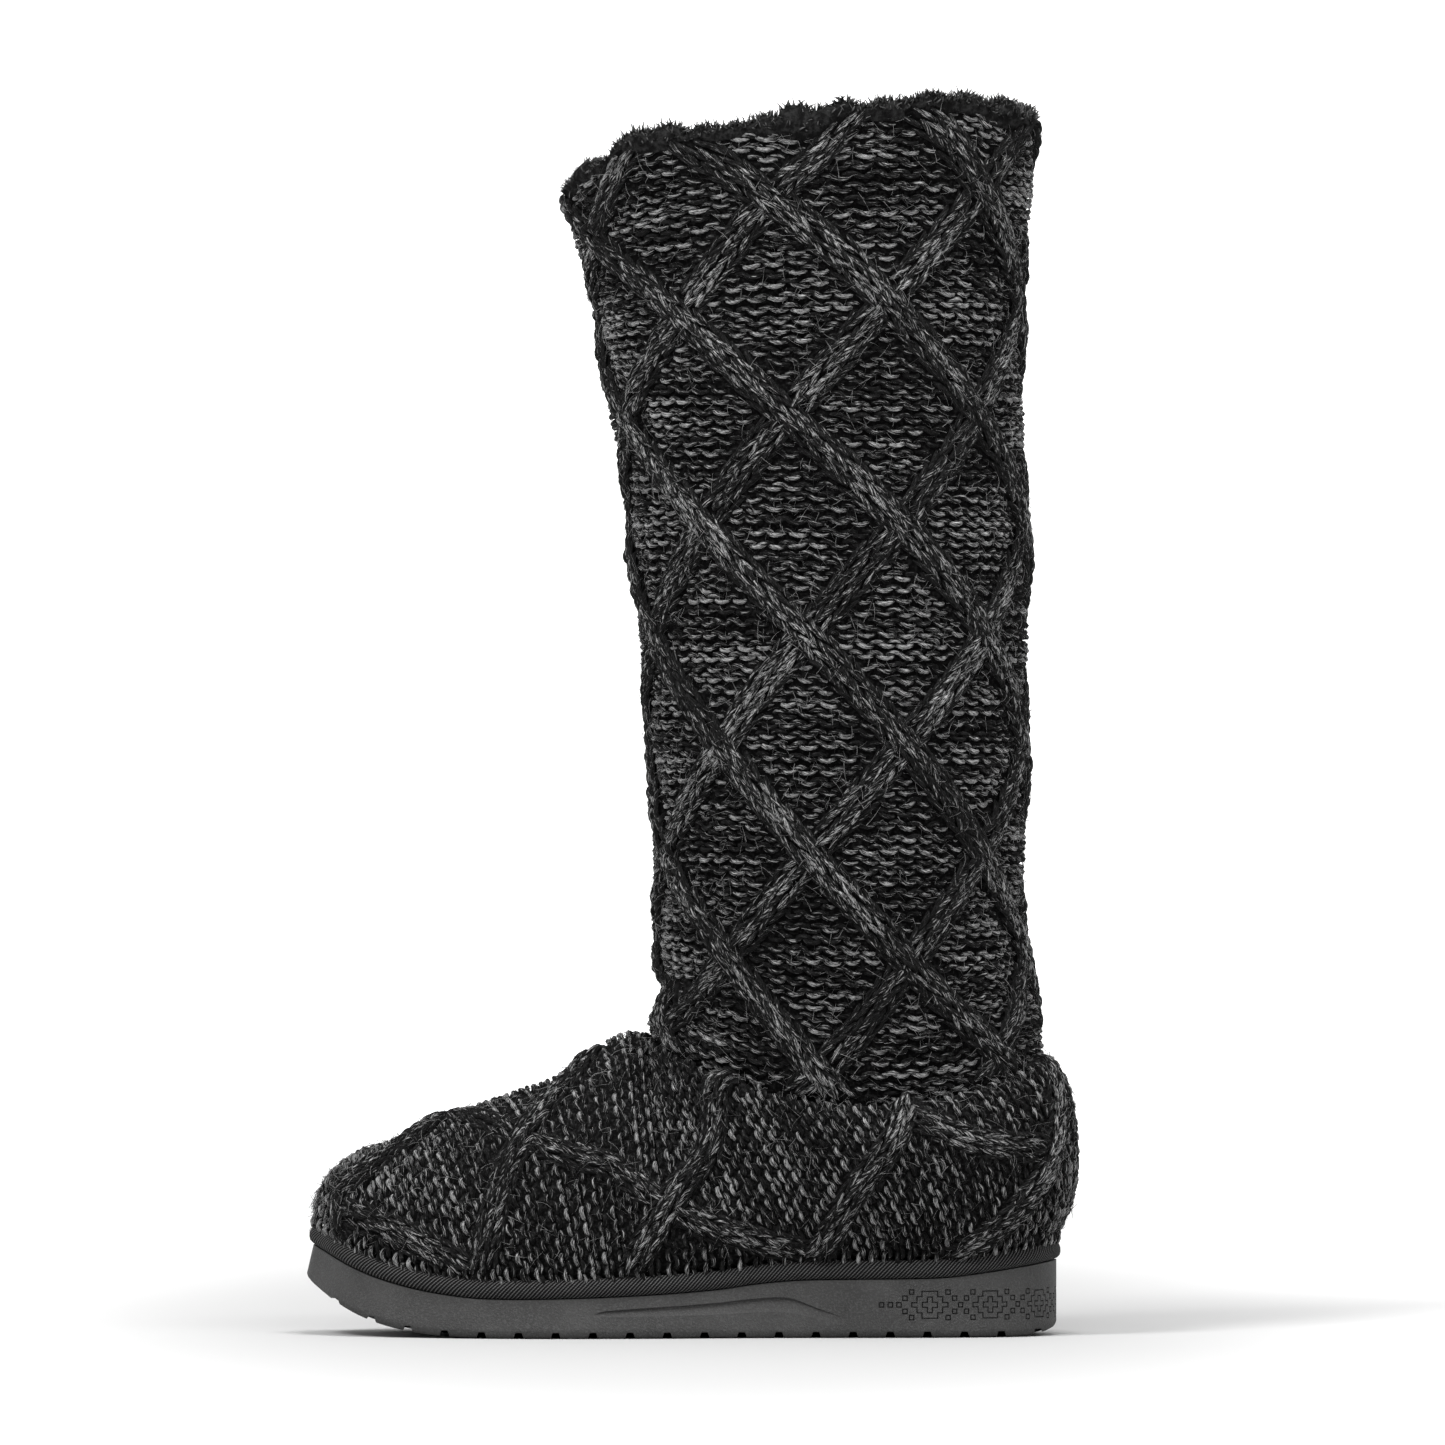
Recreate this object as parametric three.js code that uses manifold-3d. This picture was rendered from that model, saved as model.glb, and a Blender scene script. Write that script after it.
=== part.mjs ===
// A knitted slouch boot for the left foot, empty and standing on its sole.
// Millimetres, +Z up. The toe points to -X, the outer side of the foot is -Y.
// Pieces: moulded outsole, insole, cloth binding round the foot, cable-knit foot and shaft, fur collar.
import * as THREE from 'three';
import { mergeVertices } from 'three/addons/utils/BufferGeometryUtils.js';
import Module from 'manifold-3d';

// Sizes of the last and the sole
const SOLE_LENGTH = 264;
const BALL_WIDTH = 98;
const HEEL_WIDTH = 75;
const TOE_SWING = 7; // how far the toe tip leans to the inner side
const TOE_SPRING = 18.5;
const SPRING_START = 0.34; // share of the length where the forepart leaves the floor
const SPRING_POWER = 4.3;
const HEEL_SPRING = 2.2; // how far the heel's back edge clears the floor
const HEEL_SPRING_START = 0.95;
const SOLE_LIP = 31.5; // top of the sole's side wall at the toe
const SOLE_FLARE = 2.3;
const SOLE_EDGE = 3; // rounding between tread and side wall
const RECESS_DEPTH = 1.2; // long hollow in the side wall at the waist
const BED_DROP = 2; // the sole's bed lies this far under its side wall's top

// Tread
const LUG_PITCH = 13;
const LUG_COUNT = 20;
const GROOVE_DEPTH = 2.2;
const GROOVE_MOUTH = 3;
const GROOVE_ROOT = 2;
const LAST_GROOVE = 6.8; // distance of the rearmost groove from the heel's back

// Soft parts
const WALL = 3.5; // knit with its fleece backing
const GAP = 0.3; // clearance between pieces that touch
const SEAM_GAP = 0.5; // clearance between shaft and foot at the ankle seam
const TAPE_HEIGHT = 6.6;
const TAPE_THICKNESS = 1.8;
const TAPE_BULGE = 1.2;
const INSOLE_THICKNESS = 4;
const INSTEP_HEIGHT = 105;
const TOE_SWELL = 3.5; // reach of the foot's curve over the binding
const HEEL_SWELL = 13;
const SEAM_ROLL = 9.6; // reach of the curve that rolls in to the shaft seam
const SEAM_LIFT = 3;
const HEM_TUCK = 0.8; // the shaft's lower edge tapers in by this much inside the foot

// Shaft
const RIM_HEIGHT = 427;
const RIM_SLANT = 13.5;
const RIM_DROP = 11.5;
const SEAM_HEIGHT = 82.3;
const SEAM_SLANT = 3.5;
const SEAM_RISE = 18.5;
const SHAFT_DEPTH = 134;
const SHAFT_WIDTH = 100;
const ANKLE_AT = 0.722; // share of the sole's length where the shaft's middle stands
const FUR_HEIGHT = 7.5;
const FUR_THICKNESS = 5;
const FUR_REACH = 10; // how far the fur collar runs down inside the shaft
const LOCKS = 16;
const LOCK_WIDTH = 9;
const LOCK_LEAN = 0.35; // radians

// Cables
const CABLE_COLUMNS = 6;
const DIAMOND_HEIGHT = 77;
const FIRST_CROSSING = 27; // first row of crossings under the rim's middle
const CROSSING_ANGLE = 38.7; // degrees round the shaft from its back
const OVER_CABLE = { width: 13, height: 3.4 };
const UNDER_CABLE = { width: 12, height: 2.4 };

// Mesh steps
const STEPS_PER_SECTION = 3;
const STEPS_PER_CABLE = 4; // between two rows of crossings

// Sections of the last from toe to heel. along, ridge: shares of SOLE_LENGTH; outer, inner: shares of the
// width named in of; height: share of INSTEP_HEIGHT; seam: degrees round the ankle seam from the shaft's back.
const SECTIONS = [
  { along: 0, of: BALL_WIDTH, outer: 0, inner: 0, ridge: 0.024, height: 0.487 },
  { along: 0.015, of: BALL_WIDTH, outer: 0.1, inner: 0.245, ridge: 0.042, height: 0.557 },
  { along: 0.045, of: BALL_WIDTH, outer: 0.235, inner: 0.347, ridge: 0.076, height: 0.622 },
  { along: 0.1, of: BALL_WIDTH, outer: 0.35, inner: 0.418, ridge: 0.127, height: 0.668 },
  { along: 0.17, of: BALL_WIDTH, outer: 0.43, inner: 0.46, ridge: 0.18, height: 0.732 },
  { along: 0.26, of: BALL_WIDTH, outer: 0.49, inner: 0.485, ridge: 0.255, height: 0.793 },
  { along: 0.34, of: BALL_WIDTH, outer: 0.508, inner: 0.475, ridge: 0.335, height: 0.862 },
  { along: 0.41, of: BALL_WIDTH, outer: 0.498, inner: 0.445, ridge: 0.402, height: 0.968 },
  { along: 0.475, of: BALL_WIDTH, outer: 0.478, inner: 0.413, seam: 180 },
  { along: 0.57, of: HEEL_WIDTH, outer: 0.56, inner: 0.493, seam: 150 },
  { along: 0.68, of: HEEL_WIDTH, outer: 0.513, inner: 0.473, seam: 121 },
  { along: 0.795, of: HEEL_WIDTH, outer: 0.5, inner: 0.487, seam: 93 },
  { along: 0.89, of: HEEL_WIDTH, outer: 0.46, inner: 0.453, seam: 67 },
  { along: 0.955, of: HEEL_WIDTH, outer: 0.353, inner: 0.347, seam: 43 },
  { along: 0.989, of: HEEL_WIDTH, outer: 0.187, inner: 0.187, seam: 21 },
  { along: 1, of: HEEL_WIDTH, outer: 0, inner: 0, seam: 0 },
];
const RIDGE_SECTIONS = SECTIONS.filter((row) => row.height !== undefined);
const SEAM_AT = RIDGE_SECTIONS.length; // index of the section where the shaft opening starts

// Top of the sole's side wall: along is a share of SOLE_LENGTH, top a share of SOLE_LIP.
const SOLE_TOP = [
  { along: 0, top: 1 },
  { along: 0.048, top: 0.79 },
  { along: 0.087, top: 0.66 },
  { along: 0.135, top: 0.55 },
  { along: 0.186, top: 0.475 },
  { along: 0.236, top: 0.435 },
  { along: 0.338, top: 0.437 },
  { along: 0.45, top: 0.473 },
  { along: 0.55, top: 0.535 },
  { along: 0.6, top: 0.595 },
  { along: 0.66, top: 0.635 },
  { along: 0.84, top: 0.657 },
  { along: 0.89, top: 0.698 },
  { along: 0.94, top: 0.758 },
  { along: 0.987, top: 0.82 },
  { along: 1.02, top: 0.87 },
];

// The hollow in the side wall: low and high are shares of the wall's height, deep a share of RECESS_DEPTH.
const RECESS = [
  { along: 0.385, low: 0.42, high: 0.5, deep: 0 },
  { along: 0.4, low: 0.42, high: 0.6, deep: 0.7 },
  { along: 0.52, low: 0.4, high: 0.68, deep: 1 },
  { along: 0.63, low: 0.38, high: 0.7, deep: 1 },
  { along: 0.66, low: 0.36, high: 0.66, deep: 0.8 },
  { along: 0.71, low: 0.36, high: 0.46, deep: 0 },
];

// Sections of the shaft. height: share of RIM_HEIGHT; front, back: shares of SHAFT_DEPTH from the ankle line;
// width: share of SHAFT_WIDTH.
const SHAFT_SECTIONS = [
  { height: 0.17, front: 0.513, back: 0.513, width: 0.78 },
  { height: 0.235, front: 0.507, back: 0.5, width: 0.83 },
  { height: 0.286, front: 0.493, back: 0.468, width: 0.88 },
  { height: 0.368, front: 0.5, back: 0.453, width: 0.95 },
  { height: 0.489, front: 0.515, back: 0.458, width: 1 },
  { height: 0.614, front: 0.55, back: 0.465, width: 1 },
  { height: 0.696, front: 0.581, back: 0.458, width: 1 },
  { height: 0.778, front: 0.622, back: 0.447, width: 1 },
  { height: 0.857, front: 0.65, back: 0.45, width: 1.01 },
  { height: 0.941, front: 0.71, back: 0.477, width: 1.04 },
  { height: 1.01, front: 0.745, back: 0.49, width: 1.06 },
];

// Cables of the foot on each side, named by where they start. Each path goes by [section, girth]: the section
// is counted in SECTIONS, the girth is a share of the way from the binding up to the ridge or the ankle seam.
const FOOT_CABLES = [
  { name: 'toe', over: true, path: [[1.9, 0], [1.8, 0.4], [2.9, 0.72], [4.1, 1]] },
  { name: 'ball', over: true, path: [[4.65, 0], [5.05, 0.4], [5.65, 0.68], [6.75, 1]] },
  { name: 'waist', over: true, path: [[7.4, 0], [8.3, 0.28], [9.2, 0.5], [9.9, 1]] },
  { name: 'ankle', over: true, path: [[9.9, 0], [10.6, 0.32], [11.4, 0.64], [11.8, 1]] },
  { name: 'heel', over: true, path: [[11.6, 0], [12.6, 0.22], [13.6, 0.42], [14.6, 1]] },
  { name: 'toe cross', over: false, path: [[1.8, 0.26], [3.1, 0.2], [4.7, 0.02]] },
  { name: 'vamp cross', over: false, path: [[4.1, 1], [5.4, 0.58], [7.1, 0.33], [8.4, 0.22], [10, 0.04]] },
  { name: 'heel cross', over: false, path: [[11.6, 0.76], [12.3, 0.56], [13.6, 0.43]] },
];

const DEGREE = Math.PI / 180;

// Value of a column at a place along a table, on a smooth curve through its rows.
function column(rows, at, name, place) {
  const last = rows.length - 1;
  let i = 0;
  while (i < last - 1 && place > rows[i + 1][at]) i++;
  const slope = (j) => {
    const before = rows[Math.max(0, j - 1)];
    const after = rows[Math.min(last, j + 1)];
    return (after[name] - before[name]) / (after[at] - before[at]);
  };
  const span = rows[i + 1][at] - rows[i][at];
  const t = THREE.MathUtils.clamp((place - rows[i][at]) / span, 0, 1);
  const rise = rows[i + 1][name] - rows[i][name];
  const enter = slope(i) * span;
  const leave = slope(i + 1) * span;
  const bend = (enter + leave - 2 * rise) * t + (3 * rise - 2 * enter - leave);
  return rows[i][name] + (bend * t + enter) * t;
}

function ease(low, high, value) {
  return THREE.MathUtils.smoothstep(value, low, high);
}

// Plan outline of the sole, from the toe tip along the outer side to the heel and back along the inner side.
const lean = (along) => TOE_SWING * Math.max(0, 1 - along / SPRING_START) ** 2;
const outerSide = SECTIONS.map((row) => new THREE.Vector3(
  row.along * SOLE_LENGTH, lean(row.along) - row.outer * row.of, 0));
const innerSide = SECTIONS.map((row) => new THREE.Vector3(
  row.along * SOLE_LENGTH, row.inner * row.of, 0)).slice(1, -1).reverse();
const outline = new THREE.CatmullRomCurve3([...outerSide, ...innerSide], true, 'catmullrom', 0.5);
const OUTLINE_SPANS = outerSide.length + innerSide.length;

// Stations round the outline. section counts the rows of SECTIONS, side is -1 outer and 1 inner.
function stations(steps) {
  const count = OUTLINE_SPANS * steps;
  return Array.from({ length: count }, (_, i) => {
    const place = outline.getPoint(i / count);
    const tangent = outline.getPoint((i + 0.01) / count).sub(outline.getPoint((i - 0.01 + count) / count % 1));
    tangent.normalize();
    const inner = i > count / 2;
    return {
      place,
      outward: new THREE.Vector3(tangent.y, -tangent.x, 0),
      section: (inner ? count - i : i) / steps,
      side: inner ? 1 : -1,
    };
  });
}

const wallTop = (x) => SOLE_LIP * column(SOLE_TOP, 'along', 'top', x / SOLE_LENGTH);
const treadHeight = (x) => {
  const toe = Math.max(0, 1 - x / (SPRING_START * SOLE_LENGTH)) ** SPRING_POWER;
  const heel = Math.max(0, (x / SOLE_LENGTH - HEEL_SPRING_START) / (1 - HEEL_SPRING_START)) ** 2;
  return TOE_SPRING * toe + HEEL_SPRING * heel;
};
const flare = (x) => SOLE_FLARE * (1 - x / SOLE_LENGTH);

// A point at an inset from the sole's bottom outline, at the height that the station's own x gives.
function inset(station, distance, height) {
  const point = station.place.clone().addScaledVector(station.outward, -distance);
  return point.setZ(height(station.place.x));
}

// A shell is a list of points and faces that its rings are joined into. relief is how far a point is raised.
class Shell {
  points = [];
  relief = [];
  faces = [];

  ring(points, relief = points.map(() => 0)) {
    const start = this.points.length;
    this.points.push(...points);
    this.relief.push(...relief);
    return points.map((_, i) => start + i);
  }

  // Faces between two rings of equal count, outward where the rings turn counterclockwise and climb. Each
  // four-sided field is split along its more raised diagonal.
  bridge(lower, upper) {
    lower.forEach((a, i) => {
      const next = (i + 1) % lower.length;
      const [b, c, d] = [lower[next], upper[next], upper[i]];
      const rising = this.relief[a] + this.relief[c] >= this.relief[b] + this.relief[d];
      if (rising) this.faces.push([a, b, c], [a, c, d]);
      else this.faces.push([a, b, d], [b, c, d]);
    });
  }

  // Closes a ring with strips across it, from its first point to the opposite one.
  cap(ring, facesUp) {
    const count = ring.length;
    for (let i = 0; i < count / 2; i++) {
      const strip = [ring[i], ring[i + 1], ring[(count - i - 1) % count], ring[(count - i) % count]];
      if (!facesUp) strip.reverse();
      this.faces.push([strip[0], strip[1], strip[2]], [strip[0], strip[2], strip[3]]);
    }
  }

  geometry() {
    const geometry = new THREE.BufferGeometry();
    const flat = this.points.flatMap((point) => point.toArray());
    const whole = this.faces.filter(([a, b, c]) => a !== b && b !== c && c !== a);
    geometry.setAttribute('position', new THREE.Float32BufferAttribute(flat, 3));
    geometry.setIndex(whole.flat());
    return geometry;
  }
}

// Cuts with manifold-3d
const wasm = await Module();
wasm.setup();

function toSolid(geometry) {
  const bare = geometry.clone();
  bare.deleteAttribute('normal');
  bare.deleteAttribute('uv');
  const merged = mergeVertices(bare, 1e-4);
  return new wasm.Manifold(new wasm.Mesh({
    numProp: 3,
    vertProperties: new Float32Array(merged.attributes.position.array),
    triVerts: new Uint32Array(merged.index.array),
  }));
}

function toGeometry(solid) {
  const mesh = solid.getMesh();
  const geometry = new THREE.BufferGeometry();
  geometry.setAttribute('position', new THREE.BufferAttribute(mesh.vertProperties, 3));
  geometry.setIndex(new THREE.BufferAttribute(mesh.triVerts, 1));
  return geometry;
}

// Moulded outsole: tread, flared side wall with its long hollow, and a bed that the insole lies in.
const BED_INSET = TAPE_THICKNESS + GAP + WALL + 2 * GAP;

// A point on the side wall at a share of its height, set in by the hollow's depth there.
function wallPoint(station, share, deep) {
  const depth = RECESS_DEPTH * (deep ? recess('deep', station) : 0);
  return inset(station, flare(station.place.x) * share + depth, (x) => {
    const base = treadHeight(x) + SOLE_EDGE;
    return base + (wallTop(x) - base) * share;
  });
}

function recess(name, station) {
  const along = THREE.MathUtils.clamp(station.place.x / SOLE_LENGTH, RECESS[0].along, RECESS.at(-1).along);
  return column(RECESS, 'along', name, along);
}

function outsole() {
  const around = stations(2);
  const shell = new Shell();
  const tread = shell.ring(around.map((s) => inset(s, SOLE_EDGE, treadHeight)));
  const rings = [
    tread,
    shell.ring(around.map((s) => inset(s, SOLE_EDGE * 0.3, (x) => treadHeight(x) + SOLE_EDGE * 0.3))),
    shell.ring(around.map((s) => wallPoint(s, 0))),
    shell.ring(around.map((s) => wallPoint(s, recess('low', s)))),
    shell.ring(around.map((s) => wallPoint(s, (recess('low', s) + recess('high', s)) / 2, true))),
    shell.ring(around.map((s) => wallPoint(s, recess('high', s)))),
    shell.ring(around.map((s) => wallPoint(s, 1))),
    shell.ring(around.map((s) => inset(s, flare(s.place.x) + BED_INSET, wallTop))),
    shell.ring(around.map((s) => inset(s, flare(s.place.x) + BED_INSET + 1, (x) => wallTop(x) - BED_DROP))),
  ];
  rings.slice(1).forEach((ring, i) => shell.bridge(rings[i], ring));
  shell.cap(tread, false);
  shell.cap(rings.at(-1), true);
  let sole = toSolid(shell.geometry());
  for (let i = 0; i < LUG_COUNT; i++) {
    sole = sole.subtract(toSolid(groove(SOLE_LENGTH - LAST_GROOVE - i * LUG_PITCH)));
  }
  return toGeometry(sole);
}

// One groove across the tread, wider at its mouth.
function groove(x) {
  const root = treadHeight(x) + GROOVE_DEPTH;
  const mouth = treadHeight(x) - GROOVE_DEPTH;
  const shape = new THREE.Shape();
  const slope = (GROOVE_MOUTH - GROOVE_ROOT) / 2;
  shape.moveTo(x - GROOVE_MOUTH / 2 - slope, -mouth);
  shape.lineTo(x + GROOVE_MOUTH / 2 + slope, -mouth);
  shape.lineTo(x + GROOVE_ROOT / 2, -root);
  shape.lineTo(x - GROOVE_ROOT / 2, -root);
  const depth = 2 * BALL_WIDTH;
  const geometry = new THREE.ExtrudeGeometry(shape, { depth, bevelEnabled: false });
  return geometry.rotateX(-Math.PI / 2).translate(0, -depth / 2, 0);
}

// Insole lying in the sole's bed.
function insole() {
  const around = stations(2);
  const shell = new Shell();
  const edge = (extra) => (s) => flare(s.place.x) + BED_INSET + 1 + GAP + extra;
  const place = (extra, lift) => shell.ring(around.map((s) => inset(
    s, edge(extra)(s), (x) => wallTop(x) - BED_DROP + GAP + lift)));
  const bottom = place(0, 0);
  const top = place(0, INSOLE_THICKNESS - 1);
  const crown = place(1, INSOLE_THICKNESS);
  shell.bridge(bottom, top);
  shell.bridge(top, crown);
  shell.cap(bottom, false);
  shell.cap(crown, true);
  return shell.geometry();
}

// Cloth binding that covers the foot's lower edge. Each row is a corner of its section: out from the sole's
// upper edge and up from the sole.
function binding() {
  const around = stations(STEPS_PER_SECTION);
  const profile = [
    { out: -TAPE_THICKNESS, up: 0 },
    { out: -0.1 * TAPE_THICKNESS, up: 0 },
    { out: TAPE_BULGE, up: 0.3 * TAPE_HEIGHT },
    { out: TAPE_BULGE, up: 0.65 * TAPE_HEIGHT },
    { out: -0.3 * TAPE_THICKNESS, up: TAPE_HEIGHT },
    { out: -TAPE_THICKNESS, up: 0.95 * TAPE_HEIGHT },
  ];
  const shell = new Shell();
  const rings = profile.map((corner) => shell.ring(around.map((s) => inset(
    s, flare(s.place.x) - corner.out, (x) => wallTop(x) + GAP + corner.up))));
  rings.forEach((ring, i) => shell.bridge(ring, rings[(i + 1) % rings.length]));
  return shell.geometry();
}

// A point of the shaft's oval section at a level, turned from the shaft's back by the outer side.
function ovalPoint(turn, level, grow) {
  const row = (name) => column(SHAFT_SECTIONS, 'height', name, Math.max(level, SEAM_HEIGHT) / RIM_HEIGHT);
  const middle = ANKLE_AT * SOLE_LENGTH + SHAFT_DEPTH * (row('back') - row('front')) / 2;
  const depth = SHAFT_DEPTH * (row('back') + row('front')) / 2 + grow;
  const width = SHAFT_WIDTH * row('width') / 2 + grow;
  return new THREE.Vector3(
    middle + depth * Math.cos(turn * DEGREE), -width * Math.sin(turn * DEGREE), level);
}

// Ankle seam at a turn from the shaft's back.
function seamPoint(turn, side) {
  return ovalPoint(-side * turn, SEAM_HEIGHT, SEAM_GAP).setZ(seamHeight(Math.cos(turn * DEGREE)));
}

function seamHeight(c) {
  return SEAM_HEIGHT - SEAM_SLANT * c + SEAM_RISE * c * c;
}

const ridge = new THREE.CatmullRomCurve3([
  ...RIDGE_SECTIONS.map((row) => new THREE.Vector3(
    row.ridge * SOLE_LENGTH, lean(row.ridge), row.height * INSTEP_HEIGHT)),
  seamPoint(180, 1),
], false, 'catmullrom', 0.5);

// Upper end of a foot section: on the ridge of the vamp, or on the ankle seam behind it.
function crownPoint(section, side) {
  if (section <= SEAM_AT) return ridge.getPoint(section / SEAM_AT);
  const rows = SECTIONS.map((row, index) => ({ index, seam: row.seam })).slice(SEAM_AT);
  return seamPoint(column(rows, 'index', 'seam', section), side);
}

const ankleMiddle = seamPoint(0, 1).add(seamPoint(180, 1)).multiplyScalar(0.5);

// One section of the foot: straight behind the binding, then a curve up to its crown.
function footSection(station) {
  const foot = inset(station, flare(station.place.x) + TAPE_THICKNESS + GAP, wallTop);
  foot.z += GAP;
  const ankle = foot.clone();
  ankle.z += TAPE_HEIGHT + GAP;
  const crown = crownPoint(station.section, station.side);
  const rise = crown.z - ankle.z;
  const flat = new THREE.Vector3(ankle.x - crown.x, ankle.y - crown.y, 0);
  const open = ease(SEAM_AT - 1, SEAM_AT + 1, station.section);
  const swell = station.outward.clone().multiplyScalar(TOE_SWELL + (HEEL_SWELL - TOE_SWELL) * open);
  const away = crown.clone().sub(ankleMiddle).setZ(0).normalize();
  const lower = ankle.clone().add(swell).setZ(ankle.z + rise * (0.45 - 0.17 * open));
  const upper = crown.clone().addScaledVector(flat, 0.62 * (1 - open)).addScaledVector(away, SEAM_ROLL * open);
  upper.z += SEAM_LIFT * open;
  const curve = new THREE.CubicBezierCurve3(ankle, lower, upper, crown);
  return (girth) => (girth < 0 ? foot.clone() : curve.getPoint(girth));
}

// Normals of a grid of points, rounds[v][s], that closes on itself round s.
function gridNormals(rounds) {
  return rounds.map((round, v) => round.map((point, s) => {
    const count = round.length;
    const across = round[(s + 1) % count].clone().sub(round[(s + count - 1) % count]);
    const up = rounds[Math.min(v + 1, rounds.length - 1)][s].clone().sub(rounds[Math.max(v - 1, 0)][s]);
    return across.cross(up).normalize();
  }));
}

// Height of a rounded cable at a distance from its middle.
function cableRelief(distance, cable) {
  const share = Math.min(1, (2 * Math.abs(distance)) / cable.width);
  return cable.height * Math.cos(share * Math.PI / 2) ** 1.5;
}

// Cable-knit foot: open under the foot, along the ankle seam above, and closed over the vamp.
const FOOT_GIRTHS = [-1, 0, 0.09, 0.18, 0.27, 0.36, 0.46, 0.56, 0.66, 0.76, 0.86, 0.94, 1];
const LINING_GIRTHS = [0, 1, 4, 7, 10, 12];

function footUpper() {
  const around = stations(STEPS_PER_SECTION);
  const count = around.length;
  const sections = around.map(footSection);
  const rounds = FOOT_GIRTHS.map((girth) => sections.map((section) => section(girth)));
  const normals = gridNormals(rounds);
  const top = rounds.length - 1;
  const opening = SEAM_AT * STEPS_PER_SECTION;
  const zipped = (s) => s < opening || s > count - opening;
  const mirror = (s) => (count - s) % count;
  const cables = FOOT_CABLES.flatMap(({ over, path }) => [-1, 1].map((side) => ({
    line: cablePath(path, side), cable: over ? OVER_CABLE : UNDER_CABLE,
  })));
  const isHem = (v, s) => v < 2 || (v === top && s >= opening && s <= count - opening);
  const relief = rounds.map((round, v) => round.map((point, s) => (isHem(v, s) ? 0
    : Math.max(...cables.map(({ line, cable }) => cableRelief(distanceToPath(point, line), cable))))));
  const outer = rounds.map((round, v) => round.map((point, s) =>
    point.clone().addScaledVector(normals[v][s], relief[v][s])));
  const inner = rounds.map((round, v) => round.map((point, s) =>
    point.clone().addScaledVector(normals[v][s], -WALL)));
  for (let s = 0; s < count; s++) {
    const twin = mirror(s);
    if (zipped(s) && s <= twin) {
      for (const skin of [outer, inner]) {
        const middle = skin[top][s].clone().add(skin[top][twin]).multiplyScalar(0.5);
        skin[top][s].copy(middle);
        skin[top][twin].copy(middle);
      }
    }
    if (!zipped(s)) inner[top][s].copy(rounds[top][s]).setZ(rounds[top][s].z - WALL);
  }
  const shell = new Shell();
  const zip = (ring) => ring.map((index, s) => (s >= count - opening ? ring[mirror(s)] : index));
  const outerRings = outer.map((round, v) => shell.ring(round, relief[v]));
  const innerRings = LINING_GIRTHS.map((v) => shell.ring(inner[v]));
  outerRings[top] = zip(outerRings[top]);
  innerRings[innerRings.length - 1] = zip(innerRings.at(-1));
  outerRings.slice(1).forEach((ring, v) => shell.bridge(outerRings[v], ring));
  innerRings.slice(1).forEach((ring, v) => shell.bridge(ring, innerRings[v]));
  shell.bridge(innerRings[0], outerRings[0]);
  const rimOuter = outerRings[top].slice(opening, count - opening);
  const rimInner = innerRings.at(-1).slice(opening, count - opening);
  shell.bridge(rimOuter, rimInner);
  return shell.geometry();
}

// A cable's middle line on the foot, as points close enough together to measure from.
function cablePath(path, side) {
  const corners = path.map(([section, girth]) => new THREE.Vector3(section, girth, 0));
  const line = new THREE.CatmullRomCurve3(corners);
  return line.getPoints(24).map(({ x: section, y: girth }) => {
    const t = section / OUTLINE_SPANS;
    const at = side < 0 ? t : (1 - t) % 1;
    const tangent = outline.getTangent(at);
    const station = {
      place: outline.getPoint(at), outward: new THREE.Vector3(tangent.y, -tangent.x, 0), section, side,
    };
    return footSection(station)(Math.max(0, girth));
  });
}

function distanceToPath(point, path) {
  const line = new THREE.Line3();
  const near = new THREE.Vector3();
  let least = Infinity;
  path.slice(1).forEach((end, i) => {
    line.set(path[i], end).closestPointToPoint(point, true, near);
    least = Math.min(least, near.distanceTo(point));
  });
  return least;
}

// A point of the shaft's wall. turn is the angle from the shaft's back, in degrees, and level the height on
// the side of the shaft. The rim slants and the seam rises at front and back.
function shaftPoint(turn, level, inward = 0) {
  const c = Math.cos(turn * DEGREE);
  const share = (level - SEAM_HEIGHT) / (RIM_HEIGHT - SEAM_HEIGHT);
  const low = Math.max(0, 1 - share / 0.3) ** 2;
  const high = Math.max(0, (share - 0.6) / 0.4) ** 2;
  const height = level + (seamHeight(c) - SEAM_HEIGHT) * low + (RIM_SLANT * c - RIM_DROP * c * c) * high;
  return ovalPoint(turn, level, -inward).setZ(height);
}

// Relief of the cable lattice. The cables that fall to the back run over those that fall to the front.
function latticeRelief(turn, level) {
  const pitch = 360 / CABLE_COLUMNS;
  const fall = ((RIM_HEIGHT - FIRST_CROSSING - level) / DIAMOND_HEIGHT) * pitch;
  const wrap = (angle) => THREE.MathUtils.euclideanModulo(angle + pitch / 2, pitch) - pitch / 2;
  const girth = Math.PI * (SHAFT_DEPTH + SHAFT_WIDTH) / 2;
  const slope = Math.atan2(DIAMOND_HEIGHT, girth / CABLE_COLUMNS);
  const distance = (offset) => (wrap(turn - CROSSING_ANGLE + offset) / 360) * girth * Math.sin(slope);
  return Math.max(cableRelief(distance(fall), OVER_CABLE), cableRelief(distance(-fall), UNDER_CABLE));
}

// Levels of the shaft's rings, so that the crossings of the cables fall on mesh points.
function shaftLevels() {
  const step = DIAMOND_HEIGHT / 2 / STEPS_PER_CABLE;
  const crossing = RIM_HEIGHT - FIRST_CROSSING;
  const levels = [];
  for (let level = crossing; level < RIM_HEIGHT - step / 3; level += step) levels.push(level);
  for (let level = crossing - step; level > SEAM_HEIGHT + step / 2; level -= step) levels.unshift(level);
  return [SEAM_HEIGHT, ...levels, RIM_HEIGHT];
}

const TURN_STEPS = CABLE_COLUMNS * 2 * STEPS_PER_CABLE;
const turns = Array.from({ length: TURN_STEPS }, (_, i) => CROSSING_ANGLE + 180 - i * 360 / TURN_STEPS);

// Lower edge of the shaft, which lies inside the opening of the foot.
function hemPoint(turn, inward) {
  const point = shaftPoint(turn, SEAM_HEIGHT, inward);
  return point.setZ(point.z - WALL);
}

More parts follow.
